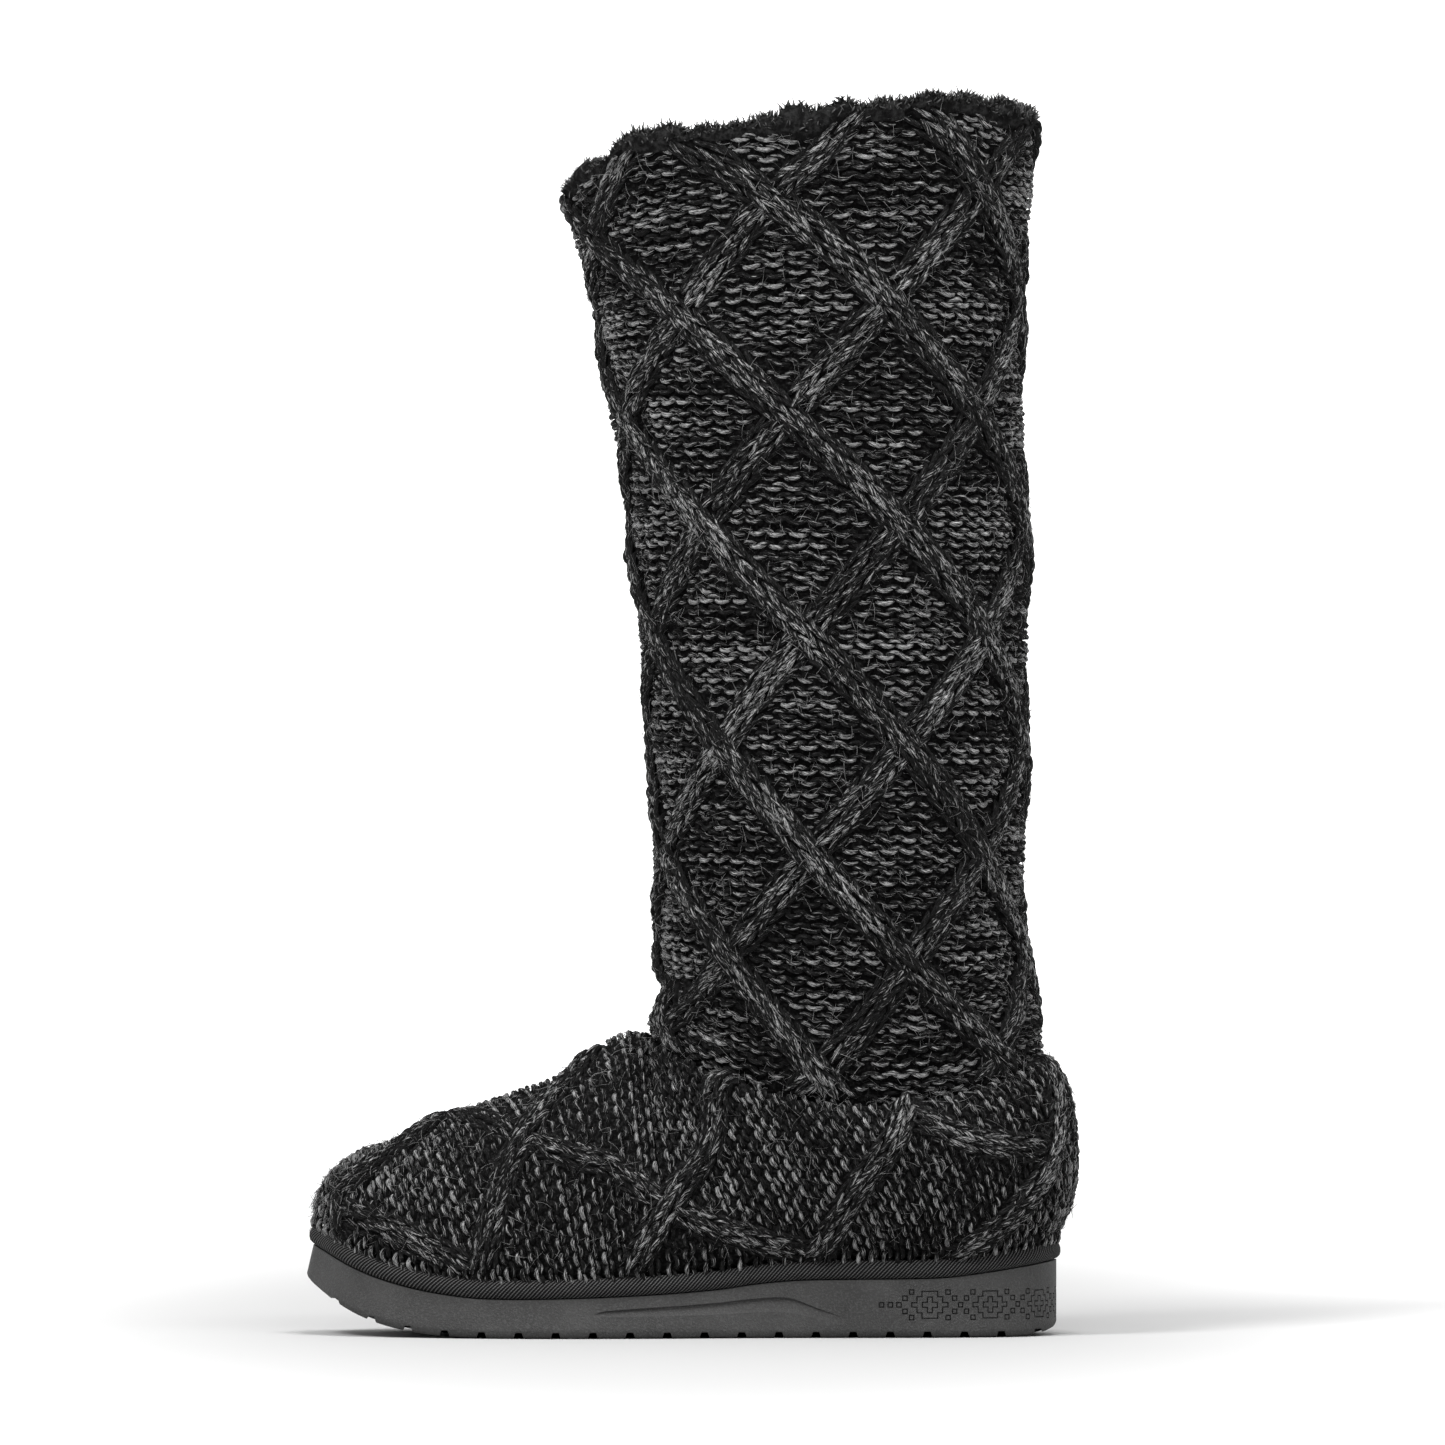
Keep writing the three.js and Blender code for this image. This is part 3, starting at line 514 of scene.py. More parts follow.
# %% A material with one method for its nodes
class Finish:
    """A material whose nodes are made and linked here."""

    def __init__(self, name, **constants):
        self.material = bpy.data.materials.new(name)
        self.material.use_nodes = True
        self.tree = self.material.node_tree
        self.tree.nodes.clear()
        self.shader = self.node("BsdfPrincipled", {}, constants)
        self.node("OutputMaterial", {}, {"Surface": Field(self, self.shader.outputs[0])})

    def node(self, kind, settings, sockets):
        made = self.tree.nodes.new("ShaderNode" + kind)
        for key, value in settings.items():
            setattr(made, key, value)
        for key, value in sockets.items():
            self.fill(made.inputs[key], value)
        return made

    def fill(self, socket, value):
        if isinstance(value, Field):
            self.tree.links.new(value.socket, socket)
        else:
            socket.default_value = value

    def attribute(self, name, output="Fac"):
        node = self.node("Attribute", {"attribute_name": name}, {})
        return Field(self, node.outputs[output])

    def split(self, vector):
        node = self.node("SeparateXYZ", {}, {0: vector})
        return [Field(self, output) for output in node.outputs]

    def vector(self, x, y, z):
        return Field(self, self.node("CombineXYZ", {}, {0: x, 1: y, 2: z}).outputs[0])

    def noise(self, vector, scale=1.0, detail=2.0, roughness=0.5, distortion=0.0):
        sockets = {"Vector": vector, "Scale": scale, "Detail": detail, "Roughness": roughness,
                   "Distortion": distortion}
        return Field(self, self.node("TexNoise", {}, sockets).outputs[0])

    def place(self):
        """Place in metres in the boot's own frame."""
        return Field(self, self.node("TexCoord", {}, {}).outputs["Object"])

    def mix(self, share, first, second):
        """Blend of two colours."""
        sockets = {0: share, 6: first, 7: second}
        return Field(self, self.node("Mix", {"data_type": "RGBA"}, sockets).outputs[2])

    def bump(self, height, distance, strength=1.0, under=None):
        sockets = {"Height": height, "Distance": distance, "Strength": strength}
        if under is not None:
            sockets["Normal"] = under
        return Field(self, self.node("Bump", {}, sockets).outputs[0])

    def finish(self, **links):
        for key, value in links.items():
            self.fill(self.shader.inputs[key.replace("_", " ")], value)
        print("finish:", self.material.name, len(self.tree.nodes), "nodes")
        return self.material


def grey(level, warmth=0.0):
    """A grey colour; warmth moves it from blue towards red."""
    return (level * (1 + warmth), level, level * (1 - warmth), 1.0)


# %% [markdown]
# The yarn is marled: black plies are twisted with pale grey ones, so each stitch shows short pale streaks
# that wind round the strand. An image could hold them, but each strand already knows how far along and
# how far around it a point lies. Noise that is stretched along the strand and sheared by the twist gives
# the streaks, and each stitch's own shade moves the share of pale fibre up and down. That shade is partly
# the marl's random patches and partly painted light and shade, and the top of each strand is painted paler
# as a highlight.

# %% Marled yarn
def marled_yarn():
    """Plies that wind round the strand: pale where streaks, shade and a painted highlight on the strand's top
    add up to enough.
    """
    wool = Finish("marled wool", **{"Roughness": 0.95, "Specular IOR Level": 0.08})
    along, around, number = wool.split(wool.attribute("yarn", "Vector"))
    shade = wool.attribute("shade")
    wound = around * 2.6 + along * 0.13
    streaks = wool.noise(wool.vector(along * 0.3, wound * 3.4, number * 3.7), detail=2.0, roughness=0.6)
    # Painted highlight: where each strand faces out, it is painted paler.
    crest_highlight = 1.0 - abs(around * 2.0 - 1.0)
    pale = (streaks + shade * 0.36 + crest_highlight * 0.14).fade(0.76, 0.91)
    hairs = wool.noise(wool.vector(along * 0.7, wound * 12.0, number * 5.1), detail=1.0)
    pale_wool = wool.mix(hairs.fade(0.44, 0.58), grey(0.02), grey(0.42))
    dark_wool = wool.mix(hairs.fade(0.48, 0.7), grey(0.003), grey(0.03))
    colour = wool.mix(pale, dark_wool, pale_wool)
    return wool.finish(Base_Color=colour, Normal=wool.bump(hairs + streaks, 0.0005, 0.8))


def knit_backing(name, dark, light):
    """Near-black backing in the gaps between the stitches, with a fine mottle: painted shade, where the gaps
    lie in shadow.
    """
    back = Finish(name, **{"Roughness": 1.0, "Specular IOR Level": 0.04})
    fluff = back.noise(back.place(), scale=900.0, detail=3.0)
    colour = back.mix(fluff.fade(0.45, 0.7), grey(dark), grey(light))
    return back.finish(Base_Color=colour, Normal=back.bump(fluff, 0.001, 0.8))


yarn_material = marled_yarn()


def yarn_piece(name, replaced, parts):
    """A piece of knit from sets of strands."""
    points, faces, yarn, shade = joined(parts)
    return make_piece(name, "knit", replaced, yarn_material, points, faces, yarn=yarn, shade=shade)


# The backing stands in for the shade in the gaps; the foot's copy is painted a little paler, with less of
# that shade.
shaft_backing_material = knit_backing("back of the shaft's knit", 0.002, 0.009)
foot_backing_material = knit_backing("back of the foot's knit", 0.005, 0.022)

# %% [markdown]
# Six rope cables fall to the back of the shaft and six fall to the front. They cross in a lattice of
# diamonds, and the ones that fall to the back always run on top. Distances to the nearest rope of each kind
# say where the wall is raised and where the plain stitches stop.

# %% Lattice of the rope cables
ROPES = 6
DIAMOND_HEIGHT = 77.0
FIRST_CROSSING = 27.0
CROSSING_ANGLE = 38.7
OVER_ROPE = {"width": 13.0, "height": 3.4}
UNDER_ROPE = {"width": 12.0, "height": 2.4}
# The plain knit stands this far out between the ropes and this far in beside them.
GROUND_PUFF = 0.5
GROUND_SINK = 1.3
# The wall behind the stitches follows the ropes at this share of their height, a little under them.
BACKING_SHARE = 0.85
BACKING_DEPTH = 1.0
PITCH = 360 / ROPES
SHAFT_GIRTH = math.pi * (SHAFT_DEPTH + SHAFT_WIDTH) / 2
ROPE_SLOPE = math.atan2(DIAMOND_HEIGHT, SHAFT_GIRTH / ROPES)


def rope_fall(level):
    """Degrees that a rope has turned at a level."""
    return (RIM_HEIGHT - FIRST_CROSSING - level) / DIAMOND_HEIGHT * PITCH


def rope_distances(turn, level):
    """Distance to the nearest over rope and to the nearest under rope, across the rope."""

    def distance(offset):
        """Distance to the nearest of the ropes that have turned by this offset."""
        angle = (turn - CROSSING_ANGLE + offset + PITCH / 2) % PITCH - PITCH / 2
        return angle / 360 * SHAFT_GIRTH * math.sin(ROPE_SLOPE)

    fall = rope_fall(level)
    return distance(fall), distance(-fall)


def rope_relief(distance, rope):
    """Height of a rope's round back at a distance from its middle."""
    share = np.minimum(1, 2 * np.abs(distance) / rope["width"])
    return rope["height"] * np.cos(share * math.pi / 2) ** 1.5


def shaft_relief(turn, level):
    """Height of the ropes over the shaft's wall."""
    over, under = rope_distances(turn, level)
    return np.maximum(rope_relief(over, OVER_ROPE), rope_relief(under, UNDER_ROPE))


def ground_puff(turn, level):
    """The plain knit puffs out a little between the ropes and sinks beside them."""
    over, under = rope_distances(turn, level)
    near = np.minimum(np.abs(over), np.abs(under))
    return (GROUND_PUFF + GROUND_SINK) * ease(5, 18, near) - GROUND_SINK


print("slope of the ropes:", round(math.degrees(ROPE_SLOPE)), "degrees")

# %% Wall behind the stitches of the shaft
TURNS = np.arange(0, 360, 2.5)
LEVELS = np.linspace(SEAM_HEIGHT, RIM_HEIGHT, 116)
turn_grid, level_grid = np.meshgrid(TURNS, LEVELS)
wall, wall_out = shaft_frame(turn_grid, level_grid)
raise_by = np.maximum(BACKING_SHARE * shaft_relief(turn_grid, level_grid), ground_puff(turn_grid, level_grid))
skin = wall + wall_out * (raise_by - BACKING_DEPTH)[..., None]
hem = shaft_point(TURNS, SEAM_HEIGHT, 1.0) - (0, 0, WALL)
skin = np.vstack([hem[None], skin])
make_piece("shaft_backing", "knit", "shaft", shaft_backing_material, skin,
           grid_faces(len(skin), len(TURNS), closed=True, flip=True))

# %% [markdown]
# The plain knit shows its purl side: every stitch is two short bows of yarn, one that sags and one that
# arches half a stitch further on, row over row like bricks. Each bow is a short tube that dives into the
# wall at both ends. Rows wander a little, because hand-soft knit never hangs quite straight.

# %% Soft random values
rng = np.random.default_rng(11)


def patches(rows, columns, reach_rows, reach_columns):
    """Random values from 0 to 1 in soft patches on a grid."""
    coarse = rng.random((rows // reach_rows + 3, columns // reach_columns + 3))
    y = np.arange(rows)[:, None] / reach_rows + rng.random()
    x = np.arange(columns)[None, :] / reach_columns + rng.random()
    i, j = np.floor(y).astype(int), np.floor(x).astype(int)
    v, u = ease(0, 1, y - i), ease(0, 1, x - j)
    top = coarse[i, j] * (1 - u) + coarse[i, j + 1] * u
    low = coarse[i + 1, j] * (1 - u) + coarse[i + 1, j + 1] * u
    return top * (1 - v) + low * v


def marl(rows, columns):
    """Share of pale fibre for each stitch: runs along the rows, with wider patches behind them."""
    runs = patches(rows, columns, 1, 5)
    wide = patches(rows, columns, 9, 9)
    return 0.5 * runs + 0.3 * wide + 0.2 * rng.random((rows, columns))


# %% Purl bows of the shaft
COLUMNS = 58
ROW_PITCH = 3.95
BOW = np.linspace(-1, 1, 6)
BOW_MIDDLE = slice(2, 4)
BOW_SIZE = 0.9 * (1 - 0.3 * BOW**2)
# Painted light along a bow: paler at its middle, where it stands out, and darker at its ends, which dive into
# the wall.
BOW_PAINTED_LIGHT = 1.25 - 1.1 * BOW**2
BOW_DIVE = 2.2 * np.abs(BOW) ** 3
BOW_SAG = 1.15
ARCH_DEPTH = 0.35
# Arched bows lie deeper and are given painted shade.
ARCH_PAINTED_SHADE = 0.6
BOW_LIFT = 0.42
UNEVEN = 0.15
# Plain stitches stop at these distances from the middle of a rope.
CLEAR_OF_OVER = 4.6
CLEAR_OF_UNDER = 4.3
ROWS = int((RIM_HEIGHT - SEAM_HEIGHT) / ROW_PITCH)


def bow_marl_and_painted_light(shade, arched):
    """Pale fibre of each bow along its length: random marl plus painted light, most at the middle where the
    bow stands out, and less at its ends and on the deeper arched bows, as painted shade.
    """
    shade = shade + rng.normal(0, 0.12, shade.shape)
    return (shade * np.where(arched, ARCH_PAINTED_SHADE, 1.0))[:, None] * BOW_PAINTED_LIGHT


def painted_shade_beside_rope(near):
    """Painted shade beside a rope: the share of the pale fibre that is left where the knit sinks beside it
    and lies in shade.
    """
    return 0.72 + 0.4 * ease(4.5, 8, near)


def shaft_bows(row, column, sign, shift, shade):
    """Bows of yarn on the shaft; sign 1 sags and -1 arches."""
    width = 360 / COLUMNS
    wander = 0.5 * np.sin(row * 0.9 + column * 0.31) + rng.normal(0, 0.22, row.shape)
    tilt = 0.25 + rng.normal(0, 0.35, row.shape)
    turn = (column + shift + 0.05 * rng.normal(size=row.shape))[:, None] * width + BOW * width * 0.5
    bow = sign * BOW_SAG * BOW**2
    level = SEAM_HEIGHT + (row + 0.3 + 0.5 * (sign < 0))[:, None] * ROW_PITCH
    level = level + wander[:, None] + bow + tilt[:, None] * BOW
    level = np.clip(level, SEAM_HEIGHT - 1, RIM_HEIGHT + 1)
    point, out = shaft_frame(turn, level)
    over, under = rope_distances(turn[:, 2], level[:, 2])
    free = (np.abs(over) > CLEAR_OF_OVER) & (np.abs(under) > CLEAR_OF_UNDER)
    lift = ground_puff(turn, level) + BOW_LIFT - BOW_DIVE - ARCH_DEPTH * (sign < 0)
    lift = lift + rng.normal(0, UNEVEN, row.shape)[:, None]
    paths = point + out * lift[..., None]
    # Painted shade: stitches close to a rope keep less pale fibre.
    shade = shade * painted_shade_beside_rope(np.minimum(np.abs(over), np.abs(under)))
    shade = bow_marl_and_painted_light(shade, np.full(shade.shape, sign < 0))
    return wool_tubes(paths[free], out[free], BOW_SIZE, shade=shade[free])


stitch_rows, stitch_columns = np.indices((ROWS, COLUMNS)).reshape(2, -1)
stitch_shade = marl(ROWS, COLUMNS).ravel()
low_half = stitch_rows < ROWS // 2
for name, chosen in (("lower_purl_stitches", low_half), ("upper_purl_stitches", ~low_half)):
    r, c, s = stitch_rows[chosen], stitch_columns[chosen], stitch_shade[chosen]
    yarn_piece(name, "shaft", [shaft_bows(r, c, 1, 0.0, s), shaft_bows(r, c, -1, 0.5, s)])

# %% [markdown]
# A rope cable is a narrow band of plain stitches that travels across the knit. Its stitches show as long
# legs in pairs, like arrow tails laid one over the other. Each leg is a tube that starts wide of its column
# and ends close to it, on a rounded back that stands proud of the wall.

# %% Legs of the rope cables
LEG = np.linspace(0, 1, 6)
LEG_PITCH = 5.6
LEG_COLUMNS = np.array([-4.4, -2.7, -0.9, 0.9, 2.7, 4.4])
LEG_SIZE = 1.05 * (1 - 0.45 * np.abs(2 * LEG - 1) ** 3)
LEG_LENGTH = 1.5 * LEG_PITCH
LEG_STAGGER = 0.36 * LEG_PITCH
LEG_SLANT = 1.5
LEG_ARCH = 0.3
LEG_DIVE = 1.2
# Painted light along a leg: paler at its middle and darker at its ends, which dive into the wall.
LEG_PAINTED_LIGHT = 1.15 - 0.8 * (2 * LEG - 1) ** 2
# Legs further out than this lie at the rope's edge and get painted shade; those on its back get a little
# painted light.
EDGE_COLUMN = 4
EDGE_PAINTED_SHADE = 0.55
BACK_PAINTED_LIGHT = 1.08
# The legs lie on a back a little wider than the rope, and sunk into the wall. Where a rope passes under
# another, its legs stop at these distances from the middle of the upper one.
BACK_WIDER = 3.0
BACK_SUNK = 1.1
UNDER_STOPS = 4.2
FOOT_UNDER_STOPS = 4.4


def leg_offsets(count):
    """Distance along the rope, offset across it, lift and shade of every point of every leg.

    Each leg strays a few tenths of a millimetre from its place, as it does in hand knitting.
    """
    k, column = np.indices((count, len(LEG_COLUMNS))).reshape(2, -1)
    inward = np.where(column % 2 == 0, 1.0, -1.0)
    start = k * LEG_PITCH + (column // 2) * LEG_STAGGER + rng.normal(0, 0.55, k.shape)
    along = start[:, None] + LEG * LEG_LENGTH
    slant = inward * (LEG_SLANT + rng.normal(0, 0.5, k.shape))
    spread = (LEG_COLUMNS[column] + rng.normal(0, 0.3, k.shape))[:, None] + slant[:, None] * (LEG - 0.45)
    lift = LEG_ARCH * np.sin(LEG * math.pi) - LEG_DIVE * (2 * LEG - 1) ** 4
    lift = lift + rng.normal(0, 0.25, k.shape)[:, None]
    shade = 0.36 * patches(1, count + 2, 1, 4)[0][k] + 0.34 * rng.random(k.shape)
    # Painted shade on the legs at a rope's edges, and a little painted light on those on its back.
    shade = shade * np.where(np.abs(LEG_COLUMNS[column]) > EDGE_COLUMN, EDGE_PAINTED_SHADE, BACK_PAINTED_LIGHT)
    return along, spread, lift, shade[:, None] * LEG_PAINTED_LIGHT


def leg_height(spread, rope):
    """Height over the wall of a rope's rounded back."""
    wider = {"width": rope["width"] + BACK_WIDER, "height": rope["height"]}
    return rope_relief(spread, wider) - BACK_SUNK


def lattice_legs(over):
    """Legs of all over ropes, or of all under ropes, of the shaft."""
    rope = OVER_ROPE if over else UNDER_ROPE
    direction = -1 if over else 1
    parts = []
    count = int((RIM_HEIGHT - SEAM_HEIGHT) / math.sin(ROPE_SLOPE) / LEG_PITCH) + 1
    for number in range(ROPES):
        along, spread, lift, shade = leg_offsets(count)
        down = along * math.sin(ROPE_SLOPE) - spread * math.cos(ROPE_SLOPE)
        level = RIM_HEIGHT + 2 - down
        sideways = along * math.cos(ROPE_SLOPE) + spread * math.sin(ROPE_SLOPE)
        middle = CROSSING_ANGLE + number * PITCH + direction * rope_fall(RIM_HEIGHT + 2)
        turn = middle + direction * sideways / SHAFT_GIRTH * 360
        inside = (level.min(axis=1) > SEAM_HEIGHT - 0.5) & (level.max(axis=1) < RIM_HEIGHT + 1)
        if not over:
            crossing = np.abs(rope_distances(turn[:, 3], level[:, 3])[0])
            inside &= crossing > UNDER_STOPS
        level, turn, lift, spread = level[inside], turn[inside], lift[inside], spread[inside]
        point, out = shaft_frame(turn, level)
        paths = point + out * (leg_height(spread, rope) + lift)[..., None]
        parts.append(wool_tubes(paths, out, LEG_SIZE, shade=shade[inside]))
    return parts


yarn_piece("over_ropes", "shaft", lattice_legs(True))
yarn_piece("under_ropes", "shaft", lattice_legs(False))

# %% [markdown]
# The foot is knitted of the same yarn, turned on its side: its rows climb from the binding to the ridge of
# the vamp and lean towards the toe. Each row is followed by its length over the skin, so the stitches keep
# their size where the toe closes in, and every second row ends early where they crowd.

# %% Ropes of the foot
FOOT_ROPES = [
    (True, [(1.9, 0), (1.8, 0.4), (2.9, 0.72), (4.1, 1)]),
    (True, [(4.65, 0), (5.05, 0.4), (5.65, 0.68), (6.75, 1)]),
    (True, [(7.4, 0), (8.3, 0.28), (9.2, 0.5), (9.9, 1)]),
    (True, [(9.9, 0), (10.6, 0.32), (11.4, 0.64), (11.8, 1)]),
    (True, [(11.6, 0), (12.6, 0.2), (13.5, 0.42), (14.05, 0.7), (14.15, 1)]),
    (False, [(1.8, 0.26), (3.1, 0.2), (4.7, 0.02)]),
    (False, [(4.1, 1), (5.4, 0.58), (7.1, 0.33), (8.4, 0.22), (10, 0.04)]),
    (False, [(11.6, 0.76), (12.3, 0.56), (13.6, 0.43)]),
]


def rope_line(path, side):
    """Closely spaced places on the foot along a rope's middle: place round the outline, and girth."""
    corners = np.array([(*corner, 0) for corner in path])
    line = spline(corners, np.linspace(0, len(path) - 1, 120))
    place = line[:, 0] if side < 0 else ROUND - line[:, 0]
    return place, np.clip(line[:, 1], 0, 1)


rope_lines = [(over, *rope_line(path, side)) for over, path in FOOT_ROPES for side in (-1, 1)]
rope_points = [(over, foot_point(place, girth)) for over, place, girth in rope_lines]


def foot_rope_distances(points):
    """Distance from each point to the nearest over rope and to the nearest under rope."""
    flat = points.reshape(-1, 3)
    nearest = {over: np.full(len(flat), np.inf) for over in (True, False)}
    for over, line in rope_points:
        gap = np.linalg.norm(flat[:, None] - line[None, ::3], axis=2).min(axis=1)
        nearest[over] = np.minimum(nearest[over], gap)
    return nearest[True].reshape(points.shape[:-1]), nearest[False].reshape(points.shape[:-1])


def foot_relief(points):
    """Height of the ropes over the foot's skin."""
    over, under = foot_rope_distances(points)
    return np.maximum(rope_relief(over, OVER_ROPE), rope_relief(under, UNDER_ROPE))


# %% Wall behind the stitches of the foot
place_grid, girth_grid = np.meshgrid(np.arange(0, ROUND, 0.125), np.linspace(0, 1, 25))
foot_skin, foot_out = foot_frame(place_grid, girth_grid)
foot_skin = foot_skin + foot_out * (BACKING_SHARE * foot_relief(foot_skin) - BACKING_DEPTH)[..., None]
make_piece("foot_backing", "knit", "foot_upper", foot_backing_material, foot_skin,
           grid_faces(*place_grid.shape, closed=True))

# %% Charts of the foot by length
STATIONS = np.linspace(0.02, HEEL_AT - 0.02, 601)
SHARES = np.linspace(0, 1, 65)
MIDDLE_SHARE = 22


def foot_chart(side):
    """Tables that turn lengths over the foot's skin into places: along it, and up each station."""
    place = STATIONS if side < 0 else ROUND - STATIONS
    skin = foot_point(place[:, None], SHARES[None, :])
    up = np.linalg.norm(np.diff(skin, axis=1), axis=2)
    up = np.concatenate([np.zeros((len(place), 1)), np.cumsum(up, axis=1)], axis=1)
    along = run_along(skin[:, MIDDLE_SHARE])
    pace = np.linalg.norm(np.gradient(skin, axis=0), axis=2) / np.gradient(along)[:, None]
    return place, up, along, pace


charts = {side: foot_chart(side) for side in (-1, 1)}


def foot_place(side, along_mm, up_mm):
    """Place, girth and crowding of points given by their lengths over the skin; inside marks real ones."""
    place, up, along, pace = charts[side]
    index = np.clip(np.interp(along_mm, along, np.arange(len(along))), 0, len(along) - 1.001)
    i = index.astype(int)
    t = index - i
    at = place[i] * (1 - t) + place[i + 1] * t
    girth = np.array([np.interp(value, up[row], SHARES) for value, row in zip(up_mm.ravel(), i.ravel())])
    girth = girth.reshape(up_mm.shape)
    crowding = pace[i, (girth * (len(SHARES) - 1)).astype(int)]
    inside = (up_mm < up[i, -1]) & (along_mm > 0) & (along_mm < along[-1])
    return at, girth, crowding, inside


print("length over the outer side of the foot:", round(float(charts[-1][2][-1])), "mm")

# %% Purl bows of the foot
FOOT_ROW = 2.55
FOOT_STITCH = 5.3
FOOT_LEAN = 0.36
FOOT_COLUMNS = np.arange(-1, 24)
FOOT_BOW_LIFT = 0.4
# The rows lean more and more over this length from the toe, and less again behind the vamp.
LEAN_REACH = 45
LEAN_FADE = (80, 150)
# The lowest stitches bulge out over the binding, and their ends hang down behind its edge.
HEM_REACH = 5
HEM_BULGE = 1.9
HEM_BULGE_REACH = 6
HEM_HANG = 2.4
HEM_LEAST = 0.8
# Where the rows crowd, as at the toe, every second one ends, and then every second one of those.
CROWDED = 0.6
VERY_CROWDED = 0.3


def foot_bows(side):
    """Bows of one side of the foot, in rows that climb from the binding."""
    length = charts[side][2][-1]
    rows = np.arange(int((length + LEAN_REACH) / FOOT_ROW))
    row, step = (grid.ravel() for grid in np.meshgrid(rows, FOOT_COLUMNS, indexing="ij"))
    shade = marl(len(rows) // 2 + 1, len(FOOT_COLUMNS))[rows // 2].ravel()
    sign = np.where(row % 2 == 0, 1.0, -1.0)[:, None]
    up = (step + 0.25 + 0.5 * (row % 2))[:, None] * FOOT_STITCH + BOW * FOOT_STITCH * 0.5
    up = up + rng.normal(0, 0.25, row.shape)[:, None]
    first = (row + 0.5) * FOOT_ROW
    slant = FOOT_LEAN * ease(0, LEAN_REACH, first) * (1 - 0.8 * ease(*LEAN_FADE, first))
    along = first[:, None] - slant[:, None] * np.maximum(up, 0) + sign * BOW**2
    along = along + rng.normal(0, UNEVEN, row.shape)[:, None]
    below = np.clip(up, -HEM_HANG, 0)
    up = np.maximum(up, 0)
    at, girth, crowding, inside = foot_place(side, along, up)
    point, out = foot_frame(at, girth)
    over, under = foot_rope_distances(point[:, BOW_MIDDLE].mean(axis=1))
    low = up[:, 2] < HEM_REACH
    inside &= up.max(axis=1)[:, None] > HEM_LEAST
    free = inside[:, BOW_MIDDLE].all(axis=1)
    free &= ((over > CLEAR_OF_OVER) & (under > CLEAR_OF_UNDER)) | low
    free &= (crowding[:, 2] > CROWDED) | ((row // 2) % 2 == 0)
    free &= (crowding[:, 2] > VERY_CROWDED) | ((row // 2) % 4 == 0)
    lift = FOOT_BOW_LIFT - BOW_DIVE - ARCH_DEPTH * (sign < 0) + rng.normal(0, UNEVEN, row.shape)[:, None]
    lift = lift + HEM_BULGE * ease(HEM_BULGE_REACH, 0, up)
    paths = point + out * lift[..., None]
    paths[..., 2] += below
    # Painted shade beside the ropes and painted light along each bow, as on the shaft.
    shade = bow_marl_and_painted_light(shade * painted_shade_beside_rope(np.minimum(over, under)), row % 2 > 0)
    return wool_tubes(paths[free], out[free], BOW_SIZE, shade=shade[free])


RIDGE_CLEAR_OF_OVER = 4.2
RIDGE_CLEAR_OF_UNDER = 4.0
RIDGE_BOW_LIFT = 0.5
RIDGE_BOW_DIVE = 2.0


def ridge_bows():
    """Bows that lie across the ridge of the vamp, where the rows of both sides meet."""
    section = np.linspace(0.9, SEAM_AT - 0.1, 300)
    ridge = foot_point(section, 1.0)
    run = run_along(ridge)
    section = np.interp(np.arange(0, run[-1], FOOT_ROW), run, section)[:, None]
    tall = np.interp(section[:, 0], charts[-1][0], charts[-1][1][:, -1])
    girth = 1 - np.abs(BOW) * (0.55 * FOOT_STITCH / tall)[:, None]
    place = np.where(BOW < 0, section, ROUND - section)
    point, out = foot_frame(place, girth)
    over, under = foot_rope_distances(point[:, BOW_MIDDLE].mean(axis=1))
    free = (over > RIDGE_CLEAR_OF_OVER) & (under > RIDGE_CLEAR_OF_UNDER)
    lift = RIDGE_BOW_LIFT - RIDGE_BOW_DIVE * np.abs(BOW) ** 3 + rng.normal(0, UNEVEN, len(point))[:, None]
    paths = point + out * lift[..., None]
    # Painted light along each bow, as on the shaft.
    shade = bow_marl_and_painted_light(marl(1, len(point))[0], np.arange(len(point)) % 2 > 0)
    return wool_tubes(paths[free], out[free], BOW_SIZE, shade=shade[free])


yarn_piece("foot_purl_stitches", "foot_upper", [foot_bows(-1), foot_bows(1), ridge_bows()])


# %% Legs of the foot's ropes
# Beside a rope's middle the skin bends away by this much, times the square of the offset.
FOOT_CURVE = 0.012


def foot_rope_legs(over, place, girth):
    """Legs of one rope of the foot, along the middle of the rope."""
    rope = OVER_ROPE if over else UNDER_ROPE
    line, out = foot_frame(place, girth)
    run = run_along(line)
    along, spread, lift, shade = leg_offsets(int(run[-1] / LEG_PITCH))
    across = unit(np.cross(unit(np.gradient(line, axis=0)), out))

    def pick(values):
        """Values of the rope's middle line where the points of the legs lie."""
        return np.stack([np.interp(along, run, values[:, axis]) for axis in range(3)], axis=-1)

    facing = unit(pick(out))
    height = leg_height(spread, rope) + lift
    curve = -FOOT_CURVE * spread**2
    paths = pick(line) + pick(across) * spread[..., None] + facing * (height + curve)[..., None]
    keep = along[:, -1] < run[-1] + 1
    if not over:
        keep &= foot_rope_distances(paths[:, 3])[0] > FOOT_UNDER_STOPS
    return wool_tubes(paths[keep], facing[keep], LEG_SIZE, shade=shade[keep])


yarn_piece("foot_ropes", "foot_upper", [foot_rope_legs(*line) for line in rope_lines])

# %% [markdown]
# Brushed wool is never clean: loose fibres stand off every stitch and blur its edge. Each one here is a thin
# bent strand rooted between the stitches. A few thousand are enough, since they only have to break the
# outline and lay fine pale lines over the knit.

# %% Loose fibres
HAIR = np.linspace(0, 1, 4)
SHAFT_FIBRES = 6500
FOOT_FIBRES = 2800
# Fibres start at this share of the height of the ropes.
ROOT_SHARE = 0.8
FIBRE_SIZE = 0.13 * (1 - 0.6 * HAIR)
FIBRE_BEND = 0.35
FIBRE_LENGTH = (3.0, 7.0)


